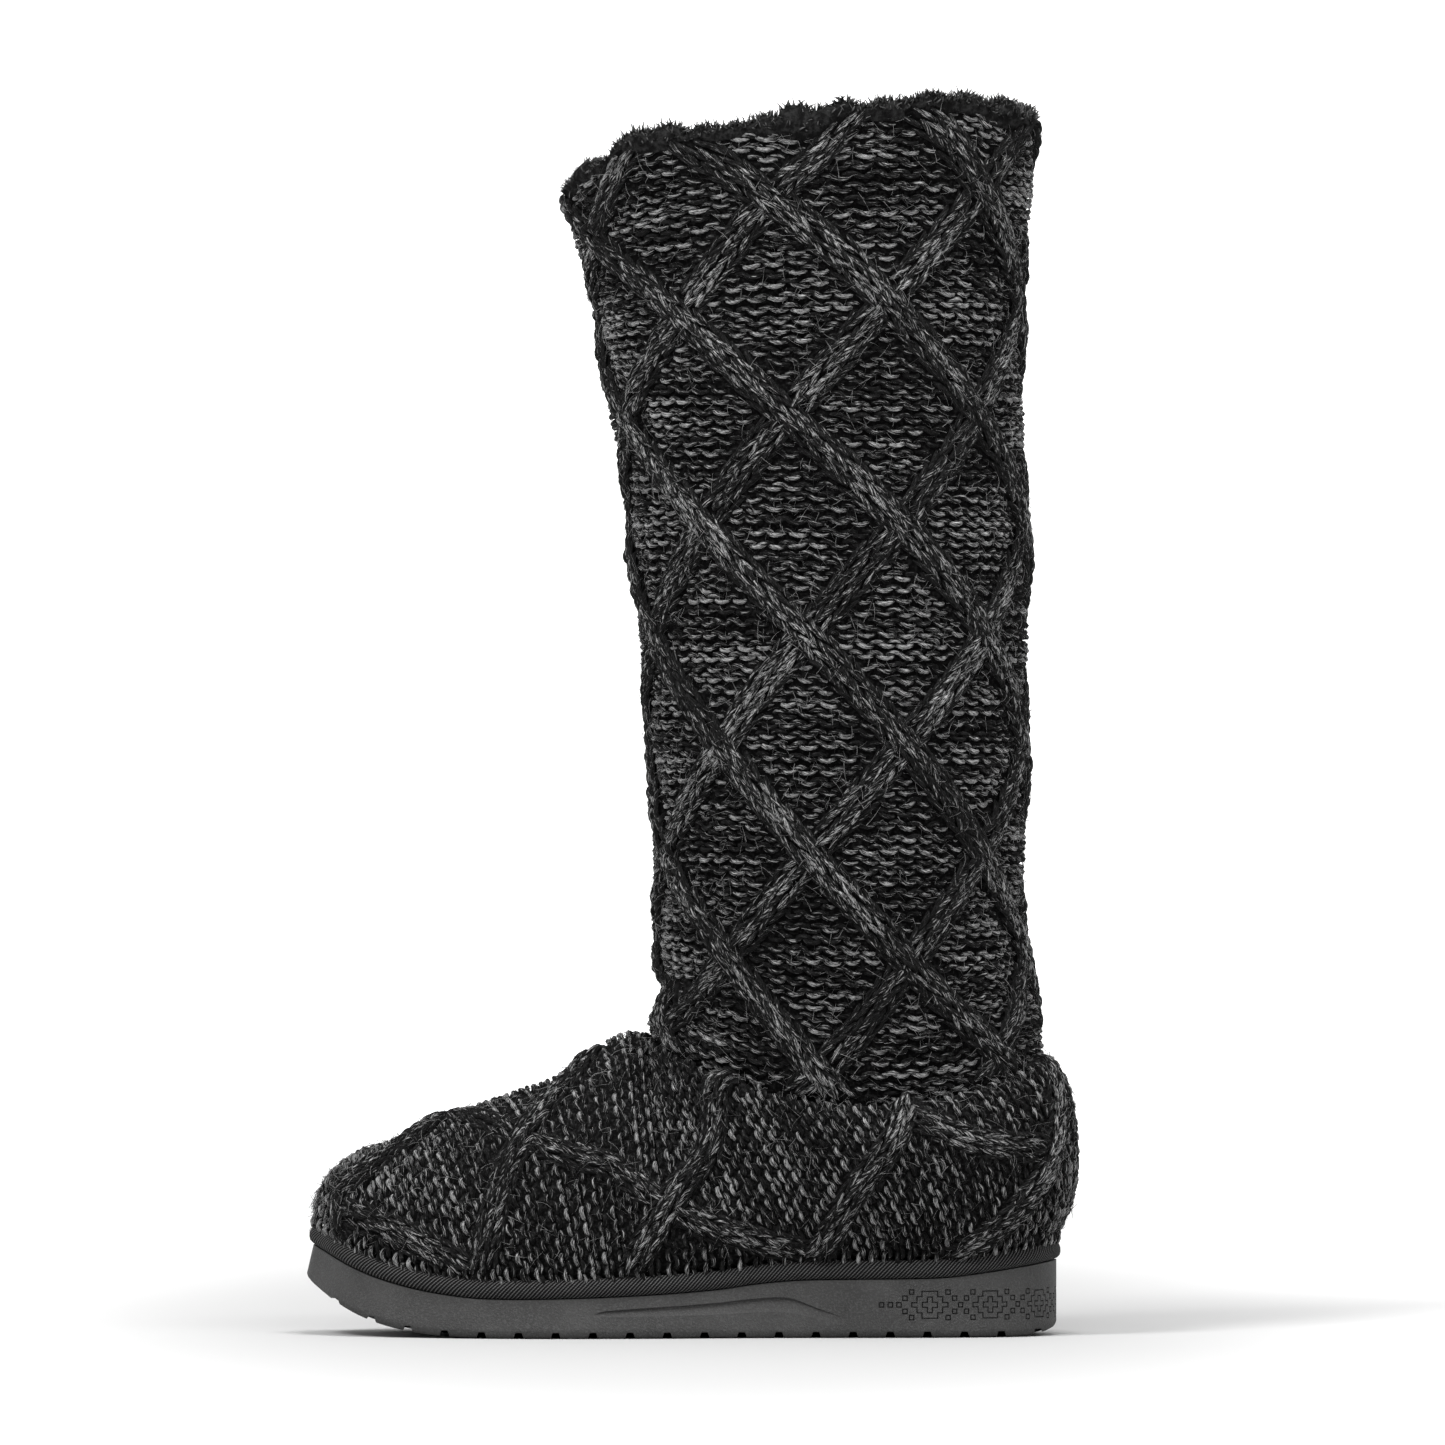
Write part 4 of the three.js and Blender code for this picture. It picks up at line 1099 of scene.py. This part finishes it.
def loose_fibres(root, out, up):
    """Thin bent strands that start at the roots and lie over the stitches."""
    count = len(root)
    across = unit(np.cross(out, up))
    angle = rng.random(count) * 2 * math.pi
    heading = across * np.cos(angle)[:, None] + unit(np.cross(across, out)) * np.sin(angle)[:, None]
    bend = unit(rng.normal(size=(count, 3)))
    length = rng.uniform(*FIBRE_LENGTH, count)[:, None, None]
    rise = out[:, None] * (0.5 + rng.uniform(0.2, 1.1, count)[:, None] * np.sin(HAIR * 2.6))[..., None]
    paths = root[:, None] + heading[:, None] * HAIR[:, None] * length + rise
    paths = paths + bend[:, None] * (HAIR**2)[:, None] * length * FIBRE_BEND
    facing = np.broadcast_to(out[:, None], paths.shape)
    size = FIBRE_SIZE * rng.uniform(0.7, 1.3, count)[:, None]
    return wool_tubes(paths, facing, size, sides=2, shade=rng.uniform(0.2, 1.3, count), under=30)


fibre_turn = rng.random(SHAFT_FIBRES) * 360
fibre_level = SEAM_HEIGHT + 2 + rng.random(SHAFT_FIBRES) * (RIM_HEIGHT - SEAM_HEIGHT - 4)
fibre_root, fibre_out = shaft_frame(fibre_turn, fibre_level)
fibre_root += fibre_out * shaft_relief(fibre_turn, fibre_level)[:, None] * ROOT_SHARE
yarn_piece("shaft_fibres", "shaft", [loose_fibres(fibre_root, fibre_out, (0, 0, 1.0))])

fibre_place = rng.random(FOOT_FIBRES) * ROUND
fibre_root, fibre_out = foot_frame(fibre_place, 0.04 + 0.94 * rng.random(FOOT_FIBRES))
fibre_root += fibre_out * foot_relief(fibre_root)[:, None] * ROOT_SHARE
yarn_piece("foot_fibres", "foot_upper", [loose_fibres(fibre_root, fibre_out, (0.1, 0, 1.0))])

# %% [markdown]
# The lining is a black curly fleece. It stands over the rim as a ruffled edge and lines the shaft inside.
# Hair particles would be heavy to keep; short tapered curls on rounded clumps give the same soft edge.

# %% Fleece finish
def fleece():
    pile = Finish("black fleece", **{"Roughness": 1.0, "Specular IOR Level": 0.04})
    place = pile.place()
    curls = pile.noise(place, scale=420.0, detail=4.0, roughness=0.65)
    fibres = pile.noise(place, scale=2600.0, detail=2.0)
    tip = pile.attribute("tip")
    colour = pile.mix(curls.fade(0.4, 0.7), grey(0.005), grey(0.022))
    # Curls are painted paler towards their tips, so that their roots sit in painted shade.
    colour = pile.mix(tip.fade(0.35, 1.1), colour, grey(0.12))
    coarse = pile.bump(curls, 0.002, 0.9)
    return pile.finish(Base_Color=colour, Normal=pile.bump(fibres, 0.0005, 0.6, coarse))


fleece_material = fleece()

# %% Lumpy ring and lining
RIM_TURNS = np.arange(0, 360, 1.5)
# Section of the ring, from the knit's edge over the top and down inside: in from the wall, and up.
RING_PROFILE = np.array([
    (0.2, -3.0), (-0.4, 0.5), (0.2, 3.6), (2.2, 5.2), (5.0, 4.6), (8.4, 2.0), (8.8, -6.0), (8.0, -14.0),
    (6.0, -40.0), (4.2, -90.0), (4.0, -170.0), (4.0, -250.0), (4.0, -330.0),
])
# Clumps of this height leave the section as it is; lower ones flatten it and higher ones stretch it.
FULL_CLUMP = 6.5
LOWEST_CLUMP = 0.8
CLUMP_OVERLAP = 1.05
# A clump higher than this leans out over the knit's edge.
LEANING_CLUMP = 3
CLUMP_LEAN = 0.3
# The uneven swells run into their own start over this many columns, so that the ring closes.
JOIN = 8
# From here inward the fleece is free of the knit and swells by its full measure.
FREE_FLEECE = 3
HELD_SHARE = 0.3


def rim_point(turn, inward, up):
    """Point by the rim: above it the wall goes straight up, below it follows the shaft."""
    level = RIM_HEIGHT + np.minimum(up, 0)
    point = shaft_point(turn, level, inward)
    point[..., 2] += np.maximum(up, 0)
    return point


# Rounded clumps side by side along the rim. Rows: degrees round, half width in degrees, height.
CLUMPS = np.array([
    (172, 6, 5.0), (160, 7, 8.5), (136, 8, 7.5), (126, 6, 7.8), (116, 4, 5.8), (108, 4, 2.0), (103, 4, 3.5),
    (98, 4, 6.5), (91, 5, 12.0), (85, 4, 8.0), (80, 4, 6.3), (73.5, 3.5, 2.0), (67, 5, 5.0), (56, 7, 4.2),
    (47.5, 3.5, 1.2), (41, 4, 6.2), (34, 4, 4.5), (26, 6, 9.5), (17, 4, 5.0), (10, 5, 5.0), (1, 6, 5.5),
    (350, 6, 4.0), (340, 8, 5.5), (328, 6, 4.0), (318, 7, 5.5), (307, 5, 3.5), (296, 8, 5.5), (284, 6, 4.0),
    (273, 8, 5.5), (261, 5, 4.0), (250, 8, 5.0), (238, 6, 3.5), (227, 8, 5.0), (215, 6, 4.0), (204, 8, 5.5),
    (192, 6, 4.0),
])


def clump_height(turn):
    """Height of the fleece over the knit's edge."""
    away = (np.asarray(turn)[..., None] - CLUMPS[:, 0] + 180) % 360 - 180
    share = np.clip(1 - (away / (CLUMP_OVERLAP * CLUMPS[:, 1])) ** 2, 0, 1)
    return LOWEST_CLUMP + ((CLUMPS[:, 2] - LOWEST_CLUMP) * np.sqrt(share)).max(axis=-1)


def clump_lean(height):
    """How far a clump of this height leans out over the knit's edge."""
    return CLUMP_LEAN * np.maximum(height - LEANING_CLUMP, 0)


clumps = clump_height(RIM_TURNS)
soft = patches(len(RING_PROFILE), len(RIM_TURNS), 1, 4) * 2.0 - 1.0
soft[:, -JOIN:] = soft[:, -JOIN:] * np.linspace(1, 0, JOIN) + soft[:, :1] * np.linspace(0, 1, JOIN)
profile_in, profile_up = RING_PROFILE[:, :1], RING_PROFILE[:, 1:]
ring_up = np.where(profile_up > 0, profile_up * clumps / FULL_CLUMP, profile_up)
ring_in = profile_in + soft * np.where(profile_in > FREE_FLEECE, 1.0, HELD_SHARE)
ring_in[1:4] -= clump_lean(clumps)
ring = rim_point(RIM_TURNS[None, :], ring_in, ring_up)
make_piece("fleece_lining", "fleece", "fur_collar", fleece_material, ring,
           grid_faces(len(RING_PROFILE), len(RIM_TURNS), closed=True, flip=True))

# %% Curls on the rim
CURLS = 6400
CURL = np.linspace(0, 1, 5)
CURL_SIZE = 0.42 * (1 - 0.75 * CURL**2)
CURL_BEND = 0.7
CURL_LENGTH = (1.3, 2.8)
CURL_SPREAD = 0.45
# Curls tilt out at the knit's edge, stand nearly straight on top and tilt in on the inner side.
TILT_SHARES = (0, 0.3, 1)
TILTS = (0.9, 0.2, -0.9)
TILT_SPREAD = 0.3
RING_START = -0.2
RING_WIDTH = 8.8
# How high the ring stands from the knit's edge, 0, to its inner side, 1.
RING_SHARES = (0, 0.12, 0.35, 0.7, 1)
RING_HEIGHTS = (-0.2, 3.0, 5.0, 4.2, 0.0)


def rim_curls():
    """Short tapered curls all over the ring. where goes from 0 at the knit's edge to 1 inside."""
    turn = rng.random(CURLS) * 360
    where = rng.random(CURLS)
    clump = clump_height(turn)
    inward = RING_START + RING_WIDTH * where - np.interp(where, (0, 0.3), (1, 0)) * clump_lean(clump)
    up = np.interp(where, RING_SHARES, RING_HEIGHTS)
    up = np.where(up > 0, up * clump / FULL_CLUMP, up)
    root = rim_point(turn, inward, up)
    outer = shaft_frame(turn, np.full(CURLS, RIM_HEIGHT))[1]
    tilt = np.interp(where, TILT_SHARES, TILTS) + rng.normal(0, TILT_SPREAD, CURLS)
    side = unit(np.cross(outer, (0, 0, 1)))
    heading = unit(outer * tilt[:, None] + (0, 0, 1) + side * rng.normal(0, CURL_SPREAD, CURLS)[:, None])
    length = rng.uniform(*CURL_LENGTH, CURLS)[:, None, None]
    bend = unit(rng.normal(size=(CURLS, 3)))
    paths = root[:, None] + heading[:, None] * CURL[:, None] * length
    paths = paths + bend[:, None] * (CURL**2)[:, None] * length * CURL_BEND
    facing = np.broadcast_to(side[:, None], paths.shape)
    size = CURL_SIZE * rng.uniform(0.6, 1.3, CURLS)[:, None]
    # Painted shade at the roots: 0 at the root, growing towards the tip.
    painted_root_shade_tip_light = CURL * rng.uniform(0.5, 1.3, CURLS)[:, None]
    return wool_tubes(paths, facing, size, sides=3, shade=painted_root_shade_tip_light, under=90)


points, faces, yarn, shade = rim_curls()
# The tip value holds each curl's painted root shade and paler tip.
make_piece("fleece_curls", "fleece", "fur_collar", fleece_material, points, faces, tip=shade)

# %% [markdown]
# A black twill tape is sewn over the join of foot and sole. Its diagonal ribs are only a few tenths of a
# millimetre high, so they are bump, with painted highlight on their tops and painted shade between them;
# the shape that shows is the soft round of the tape over the join.

# %% Twill binding
RIB_PITCH = 1.45
RIB_SLANT = 0.95
WEFT_PITCH = 0.9


def twill():
    cloth = Finish("black twill tape", **{"Roughness": 0.9, "Specular IOR Level": 0.12})
    along, girth, _ = cloth.split(cloth.attribute("cloth", "Vector"))
    fluff = cloth.noise(cloth.place(), scale=2500.0, detail=2.0)
    ribs = ((along - girth * RIB_SLANT) * (2 * math.pi / RIB_PITCH) + fluff * 1.6).wave() * 0.5 + 0.5
    weft = ((along * 0.4 + girth) * (2 * math.pi / WEFT_PITCH)).wave() * 0.5 + 0.5
    height = ribs * 0.8 + weft * 0.2
    # Painted light: the rib tops are painted pale as a highlight and the hollows between them dark as shade.
    colour = cloth.mix(height.fade(0.45, 0.95), grey(0.005), grey(0.1))
    return cloth.finish(Base_Color=colour, Normal=cloth.bump(height, 0.0008, 1.0))


TAPE_PLACES = np.arange(0, ROUND, 0.0625)
# Section of the tape: how far it stands out, its share of the height, and millimetres of cloth up to there.
TAPE_PROFILE = np.array([
    (-1, 0, 0), (-0.3, 0.01, 0.7), (0.15, 0.07, 1.4), (0.5, 0.2, 2.4), (0.62, 0.38, 3.6), (0.6, 0.58, 5),
    (0.4, 0.78, 6.4), (0.05, 0.92, 7.6), (-0.35, 0.99, 8.4), (-1, 1, 9),
])
tape_x = outline_at(TAPE_PLACES)[0][:, 0]
tape_rows = []
for out, up, _ in TAPE_PROFILE:
    stand = out * TAPE_THICKNESS if out < 0 else out * 2 * TAPE_BULGE
    tape_rows.append(inset(TAPE_PLACES, flare(tape_x) - stand, wall_top(tape_x) + GAP + up * TAPE_HEIGHT))
tape = np.stack(tape_rows)
cloth_values = xyz(run_along(tape[4])[None, :], TAPE_PROFILE[:, 2:], 0)
make_piece("twill_binding", "binding", "binding", twill(), tape,
           grid_faces(len(tape), len(TAPE_PLACES), closed=True), cloth=cloth_values)

# %% [markdown]
# The sole is moulded in one piece: a flared side wall with a rounded foot, a long leaf-shaped hollow at the
# waist, grooves across the tread and a small stepped-cross pattern pressed in at the heel. The body is a
# fine grid round the outline, and the grooves and the pattern are cut from it.

# %% Rubber of the sole
def rubber():
    sole = Finish("grey moulded rubber", **{"Specular IOR Level": 0.35})
    place = sole.place()
    grain = sole.noise(place, scale=1400.0, detail=3.0, roughness=0.7)
    cloudy = sole.noise(place, scale=60.0, detail=3.0)
    colour = sole.mix(cloudy.fade(0.35, 0.7), grey(0.034, 0.01), grey(0.047, 0.01))
    colour = sole.mix(grain.fade(0.46, 0.66) * 0.6, colour, grey(0.08))
    return sole.finish(Base_Color=colour, Roughness=0.62 + cloudy * 0.15,
                       Normal=sole.bump(grain, 0.0006, 0.9))


RECESS_DEPTH = 1.1
# Rows of the hollow, as shares: of the sole's length, of the wall at its lower and upper edge, of its depth.
HOLLOW = np.array([(0.385, 0.42, 0.5, 0), (0.4, 0.42, 0.6, 0.7), (0.52, 0.4, 0.68, 1), (0.63, 0.38, 0.69, 1),
                   (0.652, 0.33, 0.62, 0.85), (0.682, 0.22, 0.43, 0.6), (0.72, 0.14, 0.22, 0)])
# Rows of the wall across the hollow, and how much of its depth each has: it slopes in and ends in a step.
HOLLOW_SHARES = (0, 0.04, 0.35, 0.7, 0.9, 1)
HOLLOW_SLOPE = (0, 0.16, 0.5, 0.85, 1, 0)
# Plain rows of the wall below and above the hollow.
BELOW_HOLLOW = 0.09
ABOVE_HOLLOW = 0.86
BED_INSET = TAPE_THICKNESS + GAP + WALL + 2 * GAP
BED_LIP = 2.0
SHARP_ANGLE = 32
SOLE_PLACES = np.arange(0, ROUND, 0.0625)


def wall_row(share, hollow_share=None):
    """A row of the side wall at a share of its height, or at a share of the way up the hollow."""
    x = outline_at(SOLE_PLACES)[0][:, 0]
    along = np.clip(x / SOLE_LENGTH, HOLLOW[0, 0], HOLLOW[-1, 0])
    low, high, deep = (smooth(HOLLOW, column, along) for column in (1, 2, 3))
    base = tread_height(x) + SOLE_EDGE
    depth = 0.0
    if hollow_share is not None:
        share = low + (high - low) * hollow_share
        depth = RECESS_DEPTH * deep * np.interp(hollow_share, HOLLOW_SHARES, HOLLOW_SLOPE)
    return inset(SOLE_PLACES, flare(x) * share + depth, base + (wall_top(x) - base) * share)


sole_x = outline_at(SOLE_PLACES)[0][:, 0]
sole_rows = []
for angle in np.radians((0, 20, 40, 60, 80)):
    height = tread_height(sole_x) + SOLE_EDGE * (1 - math.cos(angle))
    sole_rows.append(inset(SOLE_PLACES, SOLE_EDGE * (1 - math.sin(angle)), height))
sole_rows += [wall_row(0.0), wall_row(BELOW_HOLLOW)]
sole_rows += [wall_row(0, share) for share in HOLLOW_SHARES]
sole_rows += [wall_row(ABOVE_HOLLOW), wall_row(1.0)]
sole_rows += [inset(SOLE_PLACES, flare(sole_x) + 1.0, wall_top(sole_x) + 0.1),
              inset(SOLE_PLACES, flare(sole_x) + BED_INSET, wall_top(sole_x)),
              inset(SOLE_PLACES, flare(sole_x) + BED_INSET + 1, wall_top(sole_x) - BED_LIP)]
sole_body = np.stack(sole_rows)
columns = len(SOLE_PLACES)


def closing_strips(first, up):
    """Strips across a ring of points, from the toe tip to the heel."""
    i = np.arange(columns // 2)
    strips = np.stack([i, i + 1, (columns - i - 1) % columns, (columns - i) % columns], axis=-1) + first
    return strips if up else strips[:, ::-1]


sole_faces = np.vstack([grid_faces(len(sole_body), columns, closed=True), closing_strips(0, False),
                        closing_strips((len(sole_body) - 1) * columns, True)])
outsole = make_piece("moulded_sole", "sole", "outsole", rubber(), sole_body, sole_faces)

# %% Grooves of the tread
LUG_PITCH = 13.0
LUG_COUNT = 20
LAST_GROOVE = 6.8
RIB_WIDTH = 4.0
GROOVE_DEPTH = 2.2
GROOVE_MOUTH = 2.5
GROOVE_ROOT = 1.1


def block_tool(loops):
    """A closed mesh from loops of points, each loop of equal count, capped at both ends."""
    loops = (np.asarray(loops) + ORIGIN) / 1000
    count = loops.shape[1]
    faces = [list(face) for face in grid_faces(len(loops), count, closed=True)]
    faces.append(list(range(count))[::-1])
    faces.append([(len(loops) - 1) * count + i for i in range(count)])
    return loops.reshape(-1, 3), faces


def joined_tool(name, tools):
    """Many separate closed meshes as one object to cut with."""
    points, faces, start = [], [], 0
    for tool_points, tool_faces in tools:
        points.append(tool_points)
        faces += [[corner + start for corner in face] for face in tool_faces]
        start += len(tool_points)
    mesh = bpy.data.meshes.new(name)
    mesh.from_pydata(np.vstack(points).tolist(), [], faces)
    tool = bpy.data.objects.new(name, mesh)
    bpy.context.scene.collection.objects.link(tool)
    return tool


def groove_tools(x):
    """One groove, in two lengths that leave the rib along the middle of the tread."""
    root = float(tread_height(x)) + GROOVE_DEPTH
    mouth = float(tread_height(x)) - GROOVE_DEPTH
    section = [(x - GROOVE_MOUTH, mouth), (x + GROOVE_MOUTH, mouth), (x + GROOVE_ROOT, root),
               (x - GROOVE_ROOT, root)]
    return [block_tool([[(u, side, v) for u, v in section] for side in sides])
            for sides in ((BALL_WIDTH, RIB_WIDTH / 2), (-RIB_WIDTH / 2, -BALL_WIDTH))]


def cut(piece, tool):
    """Takes the tool's shape out of a piece and removes the tool."""
    change = piece.modifiers.new("cut", "BOOLEAN")
    change.operation = "DIFFERENCE"
    change.solver = "EXACT"
    change.object = tool
    bpy.context.view_layer.objects.active = piece
    bpy.ops.object.modifier_apply(modifier=change.name)
    bpy.data.objects.remove(tool)


groove_places = SOLE_LENGTH - LAST_GROOVE - LUG_PITCH * np.arange(LUG_COUNT)
cut(outsole, joined_tool("grooves", [tool for x in groove_places for tool in groove_tools(x)]))
print("sole after its grooves:", len(outsole.data.polygons), "faces")

# %% [markdown]
# The pattern at the heel is a traditional knitting motif: a stepped cross round a small plus, with little
# squares in steps between one cross and the next. Its lines are thin and shallow, so each outline is one
# closed ring that follows the wall and is cut a little less than a millimetre deep.

# %% Stepped crosses at the heel
CROSS_STEPS = [(3.0, 4.94), (4.75, 3.05), (6.6, 1.0)]
PLUS_STEPS = [(1.1, 2.95), (2.9, 1.1)]
SQUARE_STEPS = [(1.0, 1.0)]
LINE_WIDTH = 0.45
LINE_DEPTH = 0.9
LINE_START = -0.6


def stepped_outline(steps, shrink):
    """Corners of a stepped shape, from the steps of its upper right quarter."""
    steps = [(a - shrink, b - shrink) for a, b in steps]
    quarter = []
    for i, (a, b) in enumerate(steps):
        quarter.append((a, b))
        if i + 1 < len(steps):
            quarter.append((a, steps[i + 1][1]))
    right = quarter + [(a, -b) for a, b in quarter[::-1]]
    return np.array(right + [(-a, -b) for a, b in right[:len(quarter)]] + [(-a, b) for a, b in quarter[::-1]])


wall_run = run_along(outline_at(SOLE_PLACES)[0])
heel_run = float(np.interp(HEEL_AT, SOLE_PLACES, wall_run))


def on_heel_wall(points, depth):
    """Points of the flat pattern laid on the side wall: along it from the heel's back, and up."""
    place = np.interp(heel_run + points[:, 0], wall_run, SOLE_PLACES)
    x = outline_at(place)[0][:, 0]
    base = tread_height(x) + SOLE_EDGE
    share = (points[:, 1] - base) / (wall_top(x) - base)
    return inset(place, flare(x) * share + depth, points[:, 1])


def ring_tool(steps, centre):
    """A closed ring that follows a stepped outline on the wall."""
    outer = stepped_outline(steps, 0.0) + centre
    inner = stepped_outline(steps, LINE_WIDTH) + centre
    loops = [on_heel_wall(outer, LINE_START), on_heel_wall(outer, LINE_DEPTH),
             on_heel_wall(inner, LINE_DEPTH), on_heel_wall(inner, LINE_START)]
    corner = np.arange(4 * len(outer)).reshape(4, -1)
    beside = np.roll(corner, -1, axis=1)
    faces = np.stack([corner, beside, np.roll(beside, -1, axis=0), np.roll(corner, -1, axis=0)], axis=-1)
    return (np.vstack(loops) + ORIGIN) / 1000, faces.reshape(-1, 4).tolist()


MOTIF_HEIGHT = 11.6
MOTIF_PITCH = 21.7
LAST_MOTIF = 3
HALF_WAY = 10.85
SQUARES = [(6.4, 4.45), (8.75, 2.3), (HALF_WAY, 0.0), (8.75, -2.3), (6.4, -4.45)]
TAIL_PITCH = 3.05
heel_rings = []
for number in range(-LAST_MOTIF, LAST_MOTIF + 1):
    middle = np.array([number * MOTIF_PITCH, MOTIF_HEIGHT])
    heel_rings.append(ring_tool(CROSS_STEPS, middle))
    heel_rings.append(ring_tool(PLUS_STEPS, middle))
    for across, up in SQUARES:
        for side in (-1, 1):
            # Neighbours share the square half way, and the squares of the tail take its place at both ends.
            if across == HALF_WAY and (side > 0 or number == -LAST_MOTIF):
                continue
            heel_rings.append(ring_tool(SQUARE_STEPS, middle + (side * across, up)))
for end in (-1, 1):
    for step in range(3):
        place = end * (LAST_MOTIF * MOTIF_PITCH + HALF_WAY + TAIL_PITCH * step)
        heel_rings.append(ring_tool(SQUARE_STEPS, np.array([place, MOTIF_HEIGHT])))
cut(outsole, joined_tool("heel rings", heel_rings))
outsole.data.set_sharp_from_angle(angle=math.radians(SHARP_ANGLE))
piece_sizes["moulded_sole"] = sum(len(face.vertices) - 2 for face in outsole.data.polygons)
print("sole after its pattern:", piece_sizes["moulded_sole"], "triangles")

# %% [markdown]
# Inside, the same fleece covers the footbed. It only shows from straight above, so it is one soft cushion
# with a rounded shoulder and small uneven swells.

# %% Fleece footbed
BED_DROP = 2.0
BED_SIDE = 2.6
BED_SHOULDER = 3.8
BED_MIDDLE = 4.4
BED_SHARES = (0.12, 0.28, 0.46, 0.64, 0.82, 0.97)
# The cushion's middle line starts and ends here along the sole; at the toe it lies off the centre.
BED_LINE = (30, 236)
BED_SWELL = 0.5
bed_places = np.arange(0, ROUND, 0.125)
bed_x = outline_at(bed_places)[0][:, 0]
bed_edge = flare(bed_x) + BED_INSET + 1 + GAP
bed_base = wall_top(bed_x) - BED_DROP + GAP
bed_rows = [inset(bed_places, bed_edge, bed_base), inset(bed_places, bed_edge, bed_base + BED_SIDE),
            inset(bed_places, bed_edge + 0.6, bed_base + BED_SHOULDER)]
rim_of_bed = bed_rows[-1]
for share in BED_SHARES:
    centre_x = np.clip(rim_of_bed[:, 0], *BED_LINE)
    middle_height = wall_top(centre_x) - BED_DROP + BED_MIDDLE
    spine = xyz(centre_x, np.interp(centre_x, (0, 90, SOLE_LENGTH), (6, 0, 0)), middle_height)
    row = rim_of_bed * (1 - share) + spine * share
    row[:, 2] += BED_SWELL * np.sin(row[:, 0] * 0.9) * np.sin(row[:, 1] * 0.8 + share * 5)
    bed_rows.append(row)
make_piece("fleece_footbed", "fleece", "insole", fleece_material, np.stack(bed_rows),
           grid_faces(len(bed_rows), len(bed_places), closed=True))

# %% [markdown]
# The view is a plain catalogue one: the camera stands level with the middle of the boot, far off, and looks
# straight at its outer side. A long lens keeps the shaft's edges parallel. The floor runs up into a pale
# backdrop and wide soft lamps leave only a faint shadow at the sole, deepened by painted shadow: the paper is
# grey round the boot.

# %% Camera
CAMERA_PLACE = (0.0118, -6.0, 0.2154)
LENS = 424.5
SENSOR = 36.0
FARTHEST = 40.0
camera_data = bpy.data.cameras.new("camera")
camera_data.lens = LENS
camera_data.sensor_width = SENSOR
camera_data.clip_end = FARTHEST
camera = bpy.data.objects.new("camera", camera_data)
camera.location = CAMERA_PLACE
camera.rotation_euler = (math.radians(90), 0, 0)
bpy.context.scene.collection.objects.link(camera)
bpy.context.scene.camera = camera

# %% Floor and backdrop
def paper():
    sheet = Finish("pale paper", **{"Roughness": 0.9, "Specular IOR Level": 0.1, "Emission Strength": 1.0})
    across, back, up = sheet.split(sheet.place())
    # Painted shadow: the paper is grey close to the boot and pale further off.
    near = 1.0 - ((across * 4.2).power(2.0) + (back * 1.2).power(2.0)).fade(0.1, 2.2)
    colour = sheet.mix(near, grey(0.88), grey(0.47))
    far = (across * across * 0.3 + back * back * 0.3 + up).fade(0.3, 1.5)
    return sheet.finish(Base_Color=colour, Emission_Color=sheet.mix(far, grey(0.0), grey(0.9)))


# Side view of the paper, in metres: back from the boot, and up.
PAPER_FRONT = -9.0
PAPER_BEND = 7.0
PAPER_TOP = 5.0
PAPER_SIDE = 9.0
side_view = [(PAPER_FRONT, 0.0), (PAPER_BEND, 0.0)]
side_view += [(PAPER_BEND + math.sin(a), 1 - math.cos(a)) for a in np.radians(np.arange(10, 91, 10))]
side_view += [(PAPER_BEND + 1, PAPER_TOP)]
sweep = [(side * PAPER_SIDE, y, z) for y, z in side_view for side in (-1, 1)]
sweep_faces = [(2 * i, 2 * i + 1, 2 * i + 3, 2 * i + 2) for i in range(len(side_view) - 1)]
sweep_mesh = bpy.data.meshes.new("floor")
sweep_mesh.from_pydata(sweep, [], sweep_faces)
for polygon in sweep_mesh.polygons:
    polygon.use_smooth = True
floor = bpy.data.objects.new("floor", sweep_mesh)
floor.data.materials.append(paper())
bpy.context.scene.collection.objects.link(floor)


# %% Lamps
def soft_lamp(name, location, target, width, power):
    """A square lamp, in metres and watts, that points at its target."""
    lamp_data = bpy.data.lights.new(name, "AREA")
    lamp_data.size = width
    lamp_data.energy = power
    lamp = bpy.data.objects.new(name, lamp_data)
    lamp.location = location
    aim = np.array(target) - np.array(location)
    pitch = math.atan2(math.hypot(aim[0], aim[1]), -aim[2])
    lamp.rotation_euler = (pitch, 0, math.atan2(aim[1], aim[0]) - math.pi / 2)
    bpy.context.scene.collection.objects.link(lamp)


soft_lamp("key", (-1.0, -1.4, 1.9), (0, 0, 0.22), 0.7, 46)
soft_lamp("fill", (1.6, -1.6, 0.9), (0, 0, 0.22), 1.0, 10)
soft_lamp("top", (0.3, -0.5, 2.3), (0, 0, 0.2), 0.7, 40)

# %% Light from all round
SURROUND = 0.5
world = bpy.data.worlds.new("studio")
world.use_nodes = True
background = world.node_tree.nodes["Background"]
background.inputs["Color"].default_value = grey(1.0)
background.inputs["Strength"].default_value = SURROUND
bpy.context.scene.world = world
bpy.context.scene.view_settings.view_transform = "Standard"

# %% [markdown]
# Last, the number of triangles that the dressing adds is printed. Of the dressing, only fleece and yarn
# stand a few millimetres proud of the solids.

# %% Sizes and end
print("triangles added:", sum(piece_sizes.values()))
